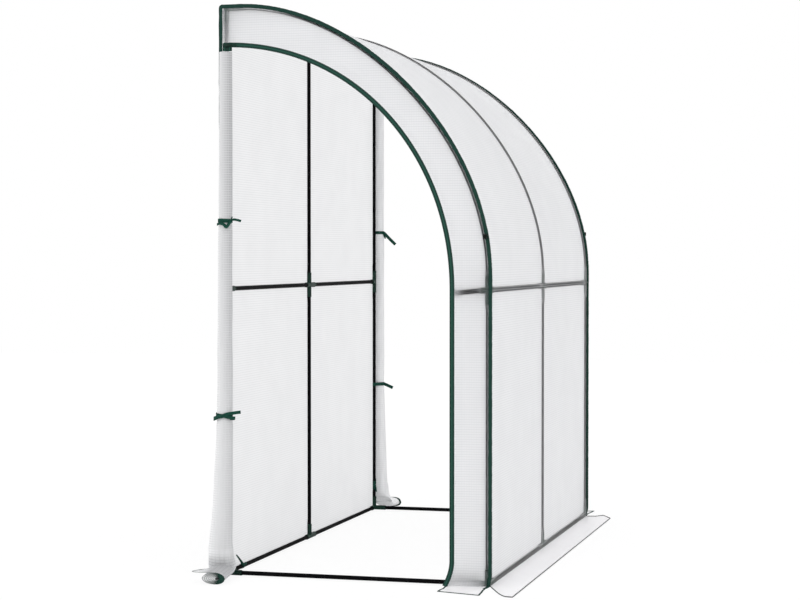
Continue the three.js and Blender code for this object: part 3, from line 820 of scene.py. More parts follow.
# Lift over the foot, slack above the doorway, and the two edges that are held to the seams
foot_lift = strip_flare * smooth((lift_height - z) / lift_fade) * smooth((-0.010 - from_axis) / 0.02)
top_slack = smooth((slack_reach - x) / slack_fade) * smooth((-from_axis - 0.001) / 0.004) * at_top
to_seam = smooth((from_axis - seam_hold) / seam_fade)
to_edge = np.maximum(to_seam, smooth((zip_hold - from_inner) / zip_fade))
for end, sign in (("near", -1), ("far", 1)):
    crease = ripples(z, x, 0.12, 21 + sign)
    loose = smooth((-0.012 - from_axis) / 0.03) * smooth((0.006 - hug) / 0.003)
    lie = bay_length + hug + strip_crease * loose * crease + strip_slack * top_slack
    lie = np.maximum(lie + (strip_edge_face - lie) * to_edge, bay_length + hug)
    lie = np.minimum(lie, np.maximum(strip_edge_face, bay_length + hug))
    lie = lie + foot_lift * (1 - to_edge)
    points = np.stack([x, sign * lie, z], axis=-1)
    points = curled_out(points, sign, np.clip(1 - from_inner / foot_inside, 0, 1))
    uv = flat - flat.min(axis=(0, 1))
    grid = (points, uv) if sign < 0 else (points[:, ::-1], uv[:, ::-1])
    strip = make_piece(f"{end}_end_film", [grid], end_film)
    fold_start, fold_end = ((door_width, sign * out, height) for out, height in foot_fold)
    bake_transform(strip)
    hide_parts(f"{end}_end_panel")


# Seam bindings and guy loops
# Dark green woven tape folded over the outer seam of each end panel, and sewn through with two
# rows of stitches. A short loop of black webbing for a guy line is sewn into it.
binding_middle = 0.0103
binding_middle_at_wall = 0.0055
binding_width = 0.0145
binding_thick = 0.0030
binding_face = 1.0023
binding_corner = 0.006
binding_pucker = 0.05
binding_tail = 0.048
tail_clear = 0.0004
foot_draw = 0.0060
foot_draw_from = 0.045
foot_draw_span = 0.04
binding_wall_x = -0.019
binding_steps = 420
loop_heights = {"near": 1.266, "far": 1.294}
loop_reach = 0.038
loop_tall = 0.018
loop_band = 0.012
loop_webbing = 0.0026
tape_green = (0.0040, 0.0215, 0.0160)
tape_light = (0.015, 0.050, 0.038)
stitch_green = (0.030, 0.080, 0.062)
stitch_row = 0.0046
stitch_pitch = 0.0044
webbing_black = (0.004, 0.005, 0.005)
webbing_light = (0.008, 0.009, 0.009)


def superellipse(width, thick, power=4.0, sides=20):
    """A rounded rectangle: cosine and sine raised to 2 / power, with their signs kept."""
    waves = circle(1.0, sides)
    return np.sign(waves) * np.abs(waves) ** (2 / power) * (width / 2, thick / 2)


def dashes(tape, distance, along, half=0.0009):
    """A row of stitches along the line where the distance is 0: 1 on a stitch and 0 between."""
    line = tape.step(tape.math("ABSOLUTE", distance), half, 0.0004)
    return line * tape.step(tape.math("PINGPONG", along / stitch_pitch, 0.5), 0.1, 0.2)


def woven_finish(name, dark, light, stitch_row, face_middle, weave=4396.0):
    """Woven tape: a fine diagonal weave, paler along the middle of each face, with a row of stitches
    on each side of that middle where stitch_row gives their distance. The middles of its two faces
    lie twice face_middle apart, measured round the tape."""
    tape = Finish(name, dark)
    across, along = tape.across_and_along()
    weft = tape.math("SINE", (across + along) * weave)
    warp = tape.math("SINE", (across - along) * weave)
    cloth = weft * warp * 0.5 + 0.5
    worn = tape.noise(tape.object_place(), 45.0, 4.0)
    face = tape.math("PINGPONG", across, face_middle)
    shade = tape.colours(cloth * 0.35 + 0.25 * tape.step(worn, 0.4, 0.75), dark, light)
    shade = tape.colours(tape.step(face, 0.0034, 0.0012) * 0.7, shade, light)
    height = cloth
    if stitch_row:
        stitches = dashes(tape, face - stitch_row, along)
        shade = tape.colours(stitches, shade, stitch_green)
        height = height + 2.0 * stitches
    shader = tape.node("ShaderNodeBsdfPrincipled", None, {
        "Base Color": shade,
        "Roughness": 0.78,
        "Normal": tape.bump(height, 0.0003, 0.6),
        "Specular IOR Level": 0.1,
    })
    return tape.end(shader)


binding_round = 2 * (binding_thick + binding_width)
binding_tape = woven_finish("binding_tape", tape_green, tape_light, stitch_row, binding_round / 4)
guy_webbing = woven_finish("guy_webbing", webbing_black, webbing_light, None, 0.008)

rise_line = front_line(binding_middle, binding_wall_x + binding_corner, binding_steps, film_bottom,
                       binding_middle_at_wall)
rise_line[:, 0] -= foot_draw * smooth((foot_draw_from - rise_line[:, 1]) / foot_draw_span)
turn = np.linspace(0, np.pi / 2, 8)[1:]
corner_x, corner_z = binding_wall_x + binding_corner, ridge_height + binding_middle_at_wall - binding_corner
corner = (corner_x, corner_z) + binding_corner * np.stack([-np.sin(turn), np.cos(turn)], axis=-1)
fall_z = np.linspace(corner[-1, 1] - 2 * binding_corner, film_bottom, 120)
fall = np.stack([np.full(120, binding_wall_x), fall_z], axis=-1)
seam_line = np.concatenate([rise_line, corner, fall])
for end, sign in (("near", -1), ("far", 1)):
    path = np.insert(seam_line, 1, sign * (binding_face + binding_thick / 2), axis=1)
    run = lengths_along(path)
    pucker = 1 + binding_pucker * (ripples(run, 0, 0.012, 31) + ripples(run, 0, 0.05, 32))
    stretch = np.stack([np.ones_like(pucker), pucker], axis=-1)
    band, band_uv = swept(path, (0, 1, 0), superellipse(binding_thick, binding_width) * stretch[:, None])
    band_uv[..., 0] *= binding_round / band_uv[..., 0].max()
    # Tail that runs out along the skirt's side
    tail_x = frame_depth + binding_middle - foot_draw
    tail_path = np.array([(0, 0), (-0.001, 0.026), (-0.006, binding_tail)]) * (1, sign)
    tail_z = binding_thick / 2 + tail_clear
    tail_path = np.insert(tail_path + (tail_x, sign * binding_face), 2, tail_z, axis=1)
    tail = swept(even(tail_path, 20), (0, 0, 1), superellipse(binding_thick, binding_width * 0.7))
    binding = make_piece(f"{end}_seam_tape", [(band, band_uv), tail], binding_tape)
    fold_start, fold_end = ((door_width, sign * out, height) for out, height in foot_fold)
    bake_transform(binding)
    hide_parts(f"{end}_seam_binding")
    # Webbing, out from the binding, round and back
    half = (loop_tall - loop_webbing) / 2
    turn = np.linspace(-np.pi / 2, np.pi / 2, 15)
    bend = np.stack([loop_reach - loop_tall / 2 + half * np.cos(turn), half * np.sin(turn)], axis=-1)
    legs = np.array([(-0.002, -0.45 * half), (0.004, -0.6 * half)])
    loop = even(np.concatenate([legs, bend, legs[::-1] * (1, -1)]), 60)
    seat_x = np.interp(loop_heights[end], rise_line[:, 1], rise_line[:, 0])
    loop_path = np.stack([np.full(60, seat_x), sign * (binding_face + binding_thick + loop[:, 0]),
                          loop_heights[end] + loop[:, 1]], axis=-1)
    loop_grid = swept(loop_path, (1, 0, 0), superellipse(loop_band, loop_webbing))
    webbing = make_piece(f"{end}_guy_loop", [loop_grid], guy_webbing)
    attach(webbing, "frame_and_cover")


# Zip tapes
# A dark green zip round each doorway: a flat woven tape with a lighter coil down its middle,
# sewn to the end panel, and folded double at the wall side.
tape_width = 0.018
tape_shift = 0.0022
tape_thick = 0.0020
coil_width = 0.0042
coil_rise = 0.0011
coil_wave = 2855.9091
tape_seam = 0.0066
tape_round = 2 * (tape_width + tape_thick)
tape_wall_x = -0.0105
tape_end_length = 0.036
tape_end_drop = 0.021
tape_end_extra = 0.0012
tape_steps = 360
coil_green = (0.014, 0.078, 0.054)

zip_cloth = Finish("zip_tape", tape_green)
across, along = zip_cloth.across_and_along()
face = zip_cloth.math("PINGPONG", across, tape_round / 2)
off = zip_cloth.math("ABSOLUTE", face - tape_round / 4)
coil = zip_cloth.step(off, coil_width * 0.75, coil_width * 0.45)
teeth = zip_cloth.math("SINE", along * coil_wave) * 0.5 + 0.5
weave = zip_cloth.math("SINE", (across + along) * 4400.0) * 0.5 + 0.5
seam = dashes(zip_cloth, off - tape_seam, along, 0.0008)
shade = zip_cloth.colours(weave * 0.5, tape_green, tape_light)
shade = zip_cloth.colours(seam, shade, stitch_green)
shade = zip_cloth.colours(coil * (0.55 + 0.45 * teeth), shade, coil_green)
zip_shader = zip_cloth.node("ShaderNodeBsdfPrincipled", None, {
    "Base Color": shade,
    "Roughness": 0.72 - 0.27 * coil,
    "Specular IOR Level": 0.15,
    "Normal": zip_cloth.bump(weave * 0.3 * (1 - coil) + coil * teeth + seam * 0.8, 0.0005, 0.7),
})
zip_tape = zip_cloth.end(zip_shader)

tape_line = door_line(tape_shift, tape_wall_x + 0.004, tape_steps)
for end, sign in (("near", -1), ("far", 1)):
    path = np.insert(tape_line, 1, sign * (binding_face + tape_thick / 2), axis=1)
    path = curled_out(path, sign)
    flat_tape = superellipse(tape_thick, tape_width, 5.0, 80)
    bead = coil_rise * np.exp(-((flat_tape[:, 1] / (coil_width / 2)) ** 4))
    flat_tape[:, 0] += np.sign(flat_tape[:, 0]) * bead
    flat_tape = np.roll(flat_tape[:-1], 20, axis=0)
    flat_tape = np.concatenate([flat_tape, flat_tape[:1]])
    tape, tape_uv = swept(path, (0, 1, 0), flat_tape)
    tape_uv[..., 0] *= tape_round / tape_uv[..., 0].max()
    # Doubled end at the wall side
    patch_path = np.empty((12, 3))
    patch_path[:, 0] = tape_wall_x + tape_end_length / 2
    patch_path[:, 1] = sign * (binding_face + tape_thick / 2 + 0.0008)
    patch_path[:, 2] = door_height - np.linspace(-tape_width / 2, tape_end_drop, 12)
    patch_section = superellipse(tape_end_length, tape_thick + tape_end_extra, 8.0, 32)
    patch = swept(patch_path, (1, 0, 0), patch_section)
    zip_piece = make_piece(f"{end}_zip", [(tape, tape_uv), patch], zip_tape)
    fold_start, fold_end = ((door_width, sign * out, height) for out, height in foot_fold)
    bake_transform(zip_piece)
    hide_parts(f"{end}_zip_tape")


# Zip sliders
# A small moulded slider with a waisted body and a pull, parked at the wall side of each zip.
# The pull is a thin ring-ended tag that lies along the tape.
slider_length = 0.026
slider_width = 0.013
slider_thick = 0.007
slider_inset = 0.008
slider_face = 1.0046
pull_length = 0.024
pull_width = 0.008
pull_thick = 0.0025
pull_gap = 0.0002
ring_long = 0.0075
ring_overlap = 0.0008
neck_overlap = 0.004

for end, sign in (("near", -1), ("far", 1)):
    # Body, waisted in the middle and rounded at its ends
    share = np.linspace(-1, 1, 25)
    path = np.full((25, 3), (0, sign * (slider_face + slider_thick / 2), door_height))
    path[:, 0] = slider_inset + share * (slider_length / 2 - 0.0004)
    waist = 1 - 0.28 * np.exp(-((share / 0.45) ** 2))
    rounded = np.sqrt(np.clip(1 - (np.abs(share) ** 7) * 0.8, 0, 1))
    shrink = np.stack([rounded * (1 - 0.18 * share**2), waist * rounded], axis=-1)
    body = swept(path, (0, 1, 0), superellipse(slider_thick, slider_width, 3.2, 24) * shrink[:, None])
    # Ring of the pull, and the neck that joins it to the body
    pull_y = sign * (slider_face + pull_thick / 2 + pull_gap)
    ring_middle = slider_inset + slider_length / 2 + pull_length - ring_long - pull_thick / 2
    ring_path = np.insert(circle(1.0, 40) * (ring_long, (pull_width - pull_thick) / 2), 1, 0, axis=1)
    ring_path = ring_path + (ring_middle, pull_y, door_height)
    ahead = unit(np.gradient(ring_path, axis=0))
    ahead[[0, -1]] = (0, 0, 1)
    up = unit(np.cross(ahead, (0, 1, 0)))
    section = superellipse(pull_thick, pull_thick, 2.6, 12)
    ring = sheet_grid(ring_path[:, None] + section[:, :1] * (0, 1, 0) + section[:, 1:] * up[:, None])
    neck_path = np.full((8, 3), (0, pull_y, door_height))
    neck_start = slider_inset + slider_length / 2 - neck_overlap
    neck_path[:, 0] = np.linspace(neck_start, ring_middle - ring_long + ring_overlap, 8)
    neck = swept(neck_path, (0, 1, 0), superellipse(pull_thick, pull_width * 0.55, 3.0, 16))
    slider = make_piece(f"{end}_slider", [body, ring, neck], green_plastic)
    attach(slider, f"{end}_slider")
    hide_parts(f"{end}_zip_slider")


# Rolled doors
# Each door is unzipped and rolled sideways against the wall post, where its edge is sewn. The
# roll is slimmer towards the top, and its ground flap lies out along the ground, bound at its edge.
hinge_x = -0.019
hinge_y = 1.0072
roll_front = 0.0294
roll_deep = 0.0284
roll_core = 0.17
roll_wraps = 7
roll_taper = 0.84
leave_angle = np.radians(97)
roll_top = 1.951
roll_columns = 24
web_columns = 14
roll_heights = (0.08, 0.20, 0.45, 0.60, 1.00, 1.30, 1.70, 1.95)
roll_half_widths = {
    "near": (0.0515, 0.0430, 0.0350, 0.0324, 0.0292, 0.0278, 0.0263, 0.0256),
    "far": (0.0400, 0.0365, 0.0330, 0.0310, 0.0285, 0.0272, 0.0257, 0.0250),
}
roll_front_edges = {
    "near": (0.0372, 0.0372, 0.0370, 0.0368, 0.0364, 0.0364, 0.0364, 0.0364),
    "far": (0.0540, 0.0500, 0.0410, 0.0375, 0.0365, 0.0365, 0.0365, 0.0365),
}
tie_heights = {
    "near": {"upper": 1.3255, "lower": 0.6035},
    "far": {"upper": 1.303, "lower": 0.5905},
}
tie_squeeze = 0.07
tie_pinch = 0.022
roll_dent = 0.04
roll_loosening = 0.1
flap_height = 0.16
flap_fade = 0.10
foot_half_widths = {"near": 0.0465, "far": 0.0390}
foot_half_height = 0.0217
foot_lengths = {"near": 0.1755, "far": 0.088}
foot_end_x = {"near": 0.0230, "far": 0.0490}
core_shift = 0.019
hem_width = 0.0035
fill_inset = 0.0052
fill_deep = 0.009
fill_share = 0.9
film_clear = 0.0006
hem_clear = 0.0002
hem_thin = 0.0008
# Hem thickness where it fills the gaps between the turns as painted shade
hem_shade_thick = {"near": 0.0044, "far": 0.0240}
hem_shade_angle = -0.15
flap_tip = (-0.064, 0.1535, 0.041)
flap_back = (-0.026, 0.080, 0.042)
rolled_white = (0.93, 0.933, 0.94)
rolled_thread = (0.62, 0.623, 0.632)
# Grey of the painted shade on one side of each roll
rolled_painted_shade = (0.38, 0.382, 0.392)
rolled_sheer = 0.96
foot_glow = 0.66
# Angle round each roll's last turn where its painted shade is darkest
painted_shade_sides = {"near": -0.40, "far": -1.57}
foot_stations = np.array([
    # Distance out as a share of the foot's length, height in half heights, share of the quarter
    # turn, width and depth in half sizes, share of the sideways sway
    (0.00, 5.00, 0.00, 1.10, 1.28, 0.00),
    (0.01, 3.40, 0.10, 1.14, 1.25, 0.04),
    (0.05, 2.10, 0.35, 1.26, 1.20, 0.20),
    (0.15, 1.35, 0.70, 1.18, 1.10, 0.34),
    (0.45, 1.08, 0.95, 1.05, 1.02, 0.55),
    (1.00, 1.02, 1.00, 1.00, 1.00, 1.00),
])

rolled = Finish("rolled_film", rolled_white)
across = rolled.across_and_along()[0]
threads = thread_grid(rolled, 0.5, 0.08)
place = rolled.object_place()
stretched = rolled.node("ShaderNodeVectorMath", {"operation": "MULTIPLY"}, {0: place, 1: (1.0, 1.0, 0.12)})
folds = rolled.noise(stretched, 70.0, 3.0)
crumple = rolled.noise(place, 30.0, 4.0, 0.6)
shade_round = rolled.math("COSINE", across / roll_deep) * 0.5 + 0.5
off_seam = rolled.math("ABSOLUTE", across)
height = rolled.part(place, "Z")
far_side = rolled.step(rolled.part(place, "Y"), -0.5, 0.5)
shade = rolled.colours(rolled.step(folds, 0.45, 0.75) * 0.25, rolled_white, rolled_thread)
outer_turn = rolled.step(off_seam, 3.6 * roll_deep, 2.8 * roll_deep)
# Painted shade: grey laid round one side of the outer turn, where the roll would be in shade, less at its
# foot and on the far door
painted_roll_shade = shade_round * outer_turn * rolled.step(height, 0.04, 0.12)
painted_roll_shade = painted_roll_shade * (0.72 + 0.24 * rolled.step(height, 0.4, 1.7) - 0.34 * far_side)
shade = rolled.colours(painted_roll_shade, shade, rolled_painted_shade)
shade = rolled.colours(threads * (0.75 - 0.40 * far_side), shade, rolled_thread)
rolled_sheen = rolled.node("ShaderNodeBsdfPrincipled", None, {
    "Base Color": shade,
    "Roughness": 0.5,
    "Specular IOR Level": 0.25,
    "Normal": rolled.bump(folds * 1.2 + crumple * 0.5 + threads * 0.12, 0.003, 0.6),
})
# The near door's foot is loose, and lets light through
rolled_glow = rolled.node("ShaderNodeBsdfTranslucent", None, {"Color": shade})
near_foot = rolled.step(height, 0.10, 0.05) * (1 - far_side) * rolled.step(across, 0.9, 0.7)
rolled_mix = rolled_sheer - foot_glow * near_foot
rolled_shader = rolled.node("ShaderNodeMixShader", None, {0: rolled_mix, 1: rolled_glow, 2: rolled_sheen})
rolled_film = rolled.end(rolled_shader)


def softened(values):
    """A running weighted mean of five, with the ends kept."""
    kernel = np.array([1, 2, 3, 2, 1]) / 9
    return np.convolve(np.pad(values, 2, mode="reflect", reflect_type="odd"), kernel, "valid")


def roll_shape(end, z):
    """The roll's middle across the greenhouse, its distance beyond the frame, and its two half widths."""
    half = np.interp(z, roll_heights, roll_half_widths[end])
    middle = np.interp(z, roll_heights, roll_front_edges[end]) - half
    shrink = 1 - (1 - roll_taper) * z / roll_top
    return middle, hinge_y + roll_front * shrink, half, roll_deep * shrink


wound_columns = roll_columns * roll_wraps
last_turn = slice(wound_columns - roll_columns, wound_columns)
share = np.linspace(0, 1, wound_columns)
angle = leave_angle - 2 * np.pi * roll_wraps * (1 - share)
reach = roll_core + (1 - roll_core) * share
for end, sign in (("near", -1), ("far", 1)):
    # Upright part, in at the ties
    z = np.linspace(roll_top, foot_stations[0, 1] * foot_half_height + 0.02, 80)
    middle_x, middle_y, half_wide, half_deep = (softened(values) for values in roll_shape(end, z))
    ties_near = sum(np.exp(-(((z - tie) / tie_pinch) ** 2)) for tie in tie_heights[end].values())
    squeeze = 1 - tie_squeeze * ties_near
    upright = (middle_x, middle_y, z, half_wide * squeeze, half_deep * squeeze, np.zeros_like(z))
    # Foot, a smooth curve through the stations
    at = np.linspace(0, len(foot_stations) - 1, 36)
    run, tall, turn, wide, deep, sway = (
        softened(np.interp(at, range(len(foot_stations)), column)) for column in foot_stations.T)
    base_x, base_y = middle_x[-1], middle_y[-1]
    foot = (base_x + sway * (foot_end_x[end] - base_x), base_y + run * foot_lengths[end],
            tall * foot_half_height, wide * foot_half_widths[end], deep * foot_half_height,
            np.clip(turn, 0, 1) * np.pi / 2)
    both = np.concatenate([upright, foot], axis=1)
    middle = both[:3].T
    half_wide, half_deep, tilt = both[3:, :, None]
    down = lengths_along(middle)
    # Film wound round the middle, looser along the foot
    round_place = np.mod(angle, 2 * np.pi)[None] * roll_deep
    dent = 1 + roll_dent * reach * ripples(round_place, down[:, None] * 0.16, 0.030, 41 + sign)
    loose = smooth((down - down[len(z)]) / roll_loosening)[:, None]
    sideways = reach * dent * np.cos(angle) * half_wide + loose * core_shift * (1 - share)
    inwards = reach * dent * np.sin(angle) * half_deep
    wound = np.stack([
        middle[:, :1] + sideways,
        middle[:, 1:2] - inwards * np.cos(tilt),
        middle[:, 2:] + inwards * np.sin(tilt),
    ], axis=-1)
    # Last length from the roll to the sewn edge, which folds out beside the foot
    leave = wound[:, -1]
    seam = middle * (0, 0, 1) + (hinge_x, hinge_y, 0)
    out = middle[:, 1:2] - base_y
    fold = smooth((flap_height - middle[:, 2:]) / flap_fade) * smooth(out / foot_lengths[end])
    shorter = np.array([1, foot_lengths[end] / foot_lengths["near"], 1])
    tip, back_end = (np.array(place) * shorter + (0, base_y, 0) for place in (flap_tip, flap_back))
    seam = seam + (back_end - seam) * fold
    through = (leave + seam) / 2
    through = through + (tip - through) * fold
    bend = 2 * through - (leave + seam) / 2
    t = np.linspace(0, 1, web_columns + 1)[1:, None]
    web = leave[:, None] * (1 - t) ** 2 + 2 * bend[:, None] * t * (1 - t) + seam[:, None] * t**2
    film = np.concatenate([wound, web], axis=1)
    film[..., 1] *= sign
    film[..., 2] = np.maximum(film[..., 2], film_clear)
    # Widths counted from the side of the last turn where the painted shade is darkest
    across = lengths_along(film[20])
    darkest_shade = np.abs(np.exp(1j * angle[last_turn]) - np.exp(1j * painted_shade_sides[end])).argmin()
    across = across - across[last_turn][darkest_shade]
    grid = (film, across) if sign < 0 else (film[:, ::-1], across[::-1])
    # Hem allowances, which fill the gaps between the turns just inside the foot's end
    edge = film[-1]
    away = unit(edge - film[-2])
    outer, outer_away = edge[roll_columns:wound_columns], away[roll_columns:wound_columns]
    gaps = outer - edge[:wound_columns - roll_columns]
    section = superellipse(fill_deep, fill_share, 6.0, 12)
    fill = (outer - gaps / 2 - fill_inset * outer_away)[:, None]
    fill = fill + section[:, :1] * outer_away[:, None] + section[:, 1:] * gaps[:, None]
    fill = closed(fill, fill[0].mean(0), fill[-1].mean(0))
    fill[..., 2] = np.maximum(fill[..., 2], film_clear)
    fill, fill_uv = sheet_grid(fill)
    grids = [sheet_grid(grid[0], down, grid[1]), (fill, fill_uv + 1.0)]
    roll = make_piece(f"{end}_rolled_film", grids, rolled_film)
    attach(roll, f"{end}_door")
    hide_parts(f"{end}_rolled_door")
    # Hem tape folded over the flap's edge: thin, and on one side of each turn thickened into a dark fill of
    # the gaps between the turns, which is painted shade inside the roll's end
    hem_tape = superellipse(hem_width, 1.0, 4.0, 12)
    shade_fill = np.zeros(len(edge))
    shade_fill[:wound_columns] = (0.5 + 0.5 * np.cos(angle - hem_shade_angle)) ** 3
    if end == "far":
        shade_fill = shade_fill * smooth((np.arange(len(edge)) - last_turn.start) / roll_columns)
    thick = hem_thin + (hem_shade_thick[end] - hem_thin) * shade_fill
    normal = np.cross(away, unit(np.gradient(edge, axis=0))) * thick[:, None]
    hem_points = edge[:, None] + hem_tape[:, :1] * away[:, None] + hem_tape[:, 1:] * normal[:, None]
    hem_points = closed(hem_points, edge[0], edge[-1])
    hem_points[..., 2] = np.maximum(hem_points[..., 2], hem_clear)
    hem = make_piece(f"{end}_flap_hem", [sheet_grid(hem_points)], binding_tape)
    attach(hem, f"{end}_door")


# Door ties
# Dark green ribbons sewn to the corner seam, passed round each roll and tied. Each has a band
# round the roll, a knot, and loose ends and bows that stand out from it.
ribbon_thick = 0.0009
band_gap = 0.0014
knot_size = 0.010
post_tie_radius = 0.0095
ties = {
    # Height, tilt and width of the band, then each loose end as its width and points: across the
    # greenhouse, out from the frame and up, from the middle of the roll
    "near_upper": ((0.001, -0.03, 0.0145), (0.023, 0.014, 0.001), [
        (0.0095, ((0.022, 0.014, 0.001), (0.037, 0.012, 0.005), (0.052, 0.010, 0.003),
                  (0.065, 0.008, -0.001))),
        (0.0050, ((0.028, 0.014, 0.002), (0.030, 0.013, 0.010), (0.033, 0.012, 0.016))),
        (0.0110, ((0.028, 0.016, 0.000), (0.022, 0.023, -0.012), (0.0145, 0.030, -0.023),
                  (0.006, 0.030, -0.014), (-0.008, 0.030, -0.009), (-0.026, 0.018, -0.013))),
    ]),
    "near_lower": ((-0.001, -0.13, 0.0130), (0.004, 0.030, 0.000), [
        (0.0125, ((0.004, 0.030, 0.000), (0.020, 0.026, 0.006), (0.042, 0.017, 0.010),
                  (0.068, 0.010, 0.0135))),
        (0.0165, ((0.004, 0.031, -0.001), (-0.010, 0.031, -0.003), (-0.022, 0.026, -0.008),
                  (-0.036, 0.018, -0.013))),
        (0.0110, ((0.004, 0.031, -0.001), (0.020, 0.027, -0.005), (0.036, 0.018, -0.008),
                  (0.046, 0.010, -0.009), (0.040, 0.008, -0.012), (0.028, 0.016, -0.011))),
    ]),
    "far_upper": ((0.000, 0.0, 0.0140), (0.027, -0.006, -0.001), [
        (0.0145, ((0.026, -0.007, 0.000), (0.034, -0.008, -0.006), (0.056, -0.009, -0.028),
                  (0.085, -0.008, -0.056))),
        (0.0080, ((0.027, -0.007, -0.004), (0.030, -0.007, -0.014), (0.036, -0.006, -0.028))),
    ]),
    "far_lower": ((0.000, 0.0, 0.0155), (0.029, -0.006, 0.001), [
        (0.0145, ((0.028, -0.007, 0.001), (0.040, -0.008, -0.003), (0.056, -0.008, -0.010),
                  (0.074, -0.006, -0.018))),
    ]),
}

ribbon_green = (0.0050, 0.036, 0.025)
ribbon_light = (0.0125, 0.066, 0.047)
ribbon_cloth = woven_finish("ribbon_cloth", ribbon_green, ribbon_light, None, 0.007, 5652.0)


def ribbon(path, side, width):
    """A flat ribbon along a path: a thin rounded rectangle, whose width may change along it."""
    path = np.asarray(path, float)
    width = np.broadcast_to(width, len(path))
    section = superellipse(1.0, ribbon_thick, 4.0, 12)
    profile = section[None] * np.stack([width, np.ones(len(path))], axis=-1)[:, None]
    return swept(path, side, profile)


def curve_through(points, count):
    """A smooth curve through points: rows of a Catmull-Rom spline, spaced evenly."""
    points = np.asarray(points, float)
    points = np.concatenate([2 * points[:1] - points[1:2], points, 2 * points[-1:] - points[-2:-1]])
    t = np.linspace(0, 1, 12, endpoint=False)[:, None]
    rows = []
    for a, b, c, d in zip(points, points[1:], points[2:], points[3:]):
        square, cube = 2 * a - 5 * b + 4 * c - d, 3 * b - a - 3 * c + d
        rows.append(0.5 * (2 * b + (c - a) * t + square * t**2 + cube * t**3))
    return even(np.concatenate(rows + [points[-2:-1]]), count)


def round_both(first, second, count):
    """A closed loop drawn tight round two ellipses: in each direction, the further one's edge."""
    turn = np.linspace(0, 2 * np.pi, 361)
    way = np.stack([np.cos(turn), np.sin(turn)], axis=-1)
    edges, reaches = [], []
    for x, y, wide, deep in (first, second):
        support = np.hypot(wide * way[:, 0], deep * way[:, 1])
        edges.append(np.array([x, y]) + way * np.array([wide**2, deep**2]) / support[:, None])
        reaches.append(x * way[:, 0] + y * way[:, 1] + support)
    loop = np.where((reaches[0] > reaches[1])[:, None], edges[0], edges[1])
    return even(np.concatenate([loop[:-1], loop[:1]]), count)


def lump(middle, size):
    """A small knot: a ball drawn out upwards a little."""
    turn = np.linspace(-np.pi / 2, np.pi / 2, 11)
    profile = np.stack([size * 0.62 * np.sin(turn), size / 2 * np.cos(turn)], axis=-1)
    profile[[0, -1], 1] = 0
    return turned(middle, middle + np.array([0.3, 0.0, 1.0]), profile, 18)


for tie_name, ((drop, tilt, band_width), knot, loose_ends) in ties.items():
    end, place_name = tie_name.split("_")
    sign = -1 if end == "near" else 1
    middle_x, middle_y, half_wide, half_deep = roll_shape(end, tie_heights[end][place_name])
    held_in = 1 - tie_squeeze
    round_roll = (middle_x, middle_y, half_wide * held_in + band_gap, half_deep * held_in + band_gap)
    round_post = (0, bay_length, post_tie_radius, post_tie_radius)
    loop = round_both(round_roll, round_post if tie_name == "far_lower" else round_roll, 97)
    middle = np.array([middle_x, sign * middle_y, tie_heights[end][place_name]])
    band_z = middle[2] + drop + tilt * (loop[:, 0] - middle_x)
    band = np.stack([loop[:, 0], sign * loop[:, 1], band_z], axis=-1)
    ahead = unit(np.roll(band[:-1], -1, axis=0) - np.roll(band[:-1], 1, axis=0))
    out = np.cross(ahead, (0, 0, 1.0))
    out = np.concatenate([out, out[:1]])
    section = superellipse(band_width, ribbon_thick, 4.0, 12)
    points = band[:, None] + section[:, :1] * np.array([0, 0, 1.0]) + section[:, 1:] * out[:, None]
    grids = [sheet_grid(points if sign < 0 else points[:, ::-1])]
    for width, points in loose_ends:
        path = curve_through(np.array(points) * (1, sign, 1) + middle, 36)
        grids.append(ribbon(path, (0, 0.3, 1), width))
    grids.append(lump(np.array(knot) * (1, sign, 1) + middle, knot_size))
    tie = make_piece(f"{end}_{place_name}_ribbon", grids, ribbon_cloth)
    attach(tie, f"{end}_door")
    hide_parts(f"{end}_door_tie_{place_name}")


# Base ties
# Two short ribbons that hold the cover to the frame near the ground: one from the back panel to
# the wall bottom bar by the near post, and one wound round the far post.
bar_tie_y = -0.838
post_tie_heights = (0.140, 0.092)
bar_coil_width = 0.012
post_coil_width = 0.011
base_tie_width = 0.010
base_tie_radius = 0.0092
base_knot = 0.009

bar_coil = np.insert(circle(base_tie_radius, 59), 1, np.linspace(-0.009, 0.005, 60), axis=1)
bar_coil = bar_coil + (0, bar_tie_y, ground_axis)
bar_strap = curve_through([(0.0005, -0.898, 0.062), (0.005, -0.884, 0.048), (0.010, -0.862, 0.027),
                           (0.009, -0.842, 0.014)], 30)
bar_tail = curve_through([(0.008, -0.842, 0.014), (0.012, -0.830, 0.020), (0.013, -0.818, 0.017)], 20)
bar_tie = make_piece("near_base_ribbon", [
    ribbon(bar_coil, (0, 1, 0), bar_coil_width),
    ribbon(bar_strap, (1, 0.2, 0.4), base_tie_width * np.linspace(0.5, 1.2, 30)),
    ribbon(bar_tail, (0, 0.3, 1), base_tie_width),
    lump(np.array([0.009, -0.842, 0.014]), base_knot),
], ribbon_cloth)
coil_turn = np.linspace(0, 7 * np.pi, 150)
post_coil = np.stack([base_tie_radius * np.cos(coil_turn), bay_length + base_tie_radius * np.sin(coil_turn),
                      np.linspace(*post_tie_heights, 150)], axis=-1)
post_tail = curve_through([(0.004, 0.980, 0.128), (0.010, 0.979, 0.108), (0.015, 0.978, 0.085)], 24)
post_tie = make_piece("far_base_ribbon", [
    ribbon(post_coil, (0, 0, 1), post_coil_width),
    ribbon(post_tail, (1, 0, 0.3), base_tie_width * np.linspace(1.0, 0.5, 24)),
    lump(np.array([0.004, 0.980, 0.126]), base_knot),
], ribbon_cloth)
for tie in (bar_tie, post_tie):
    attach(tie, "frame_and_cover")


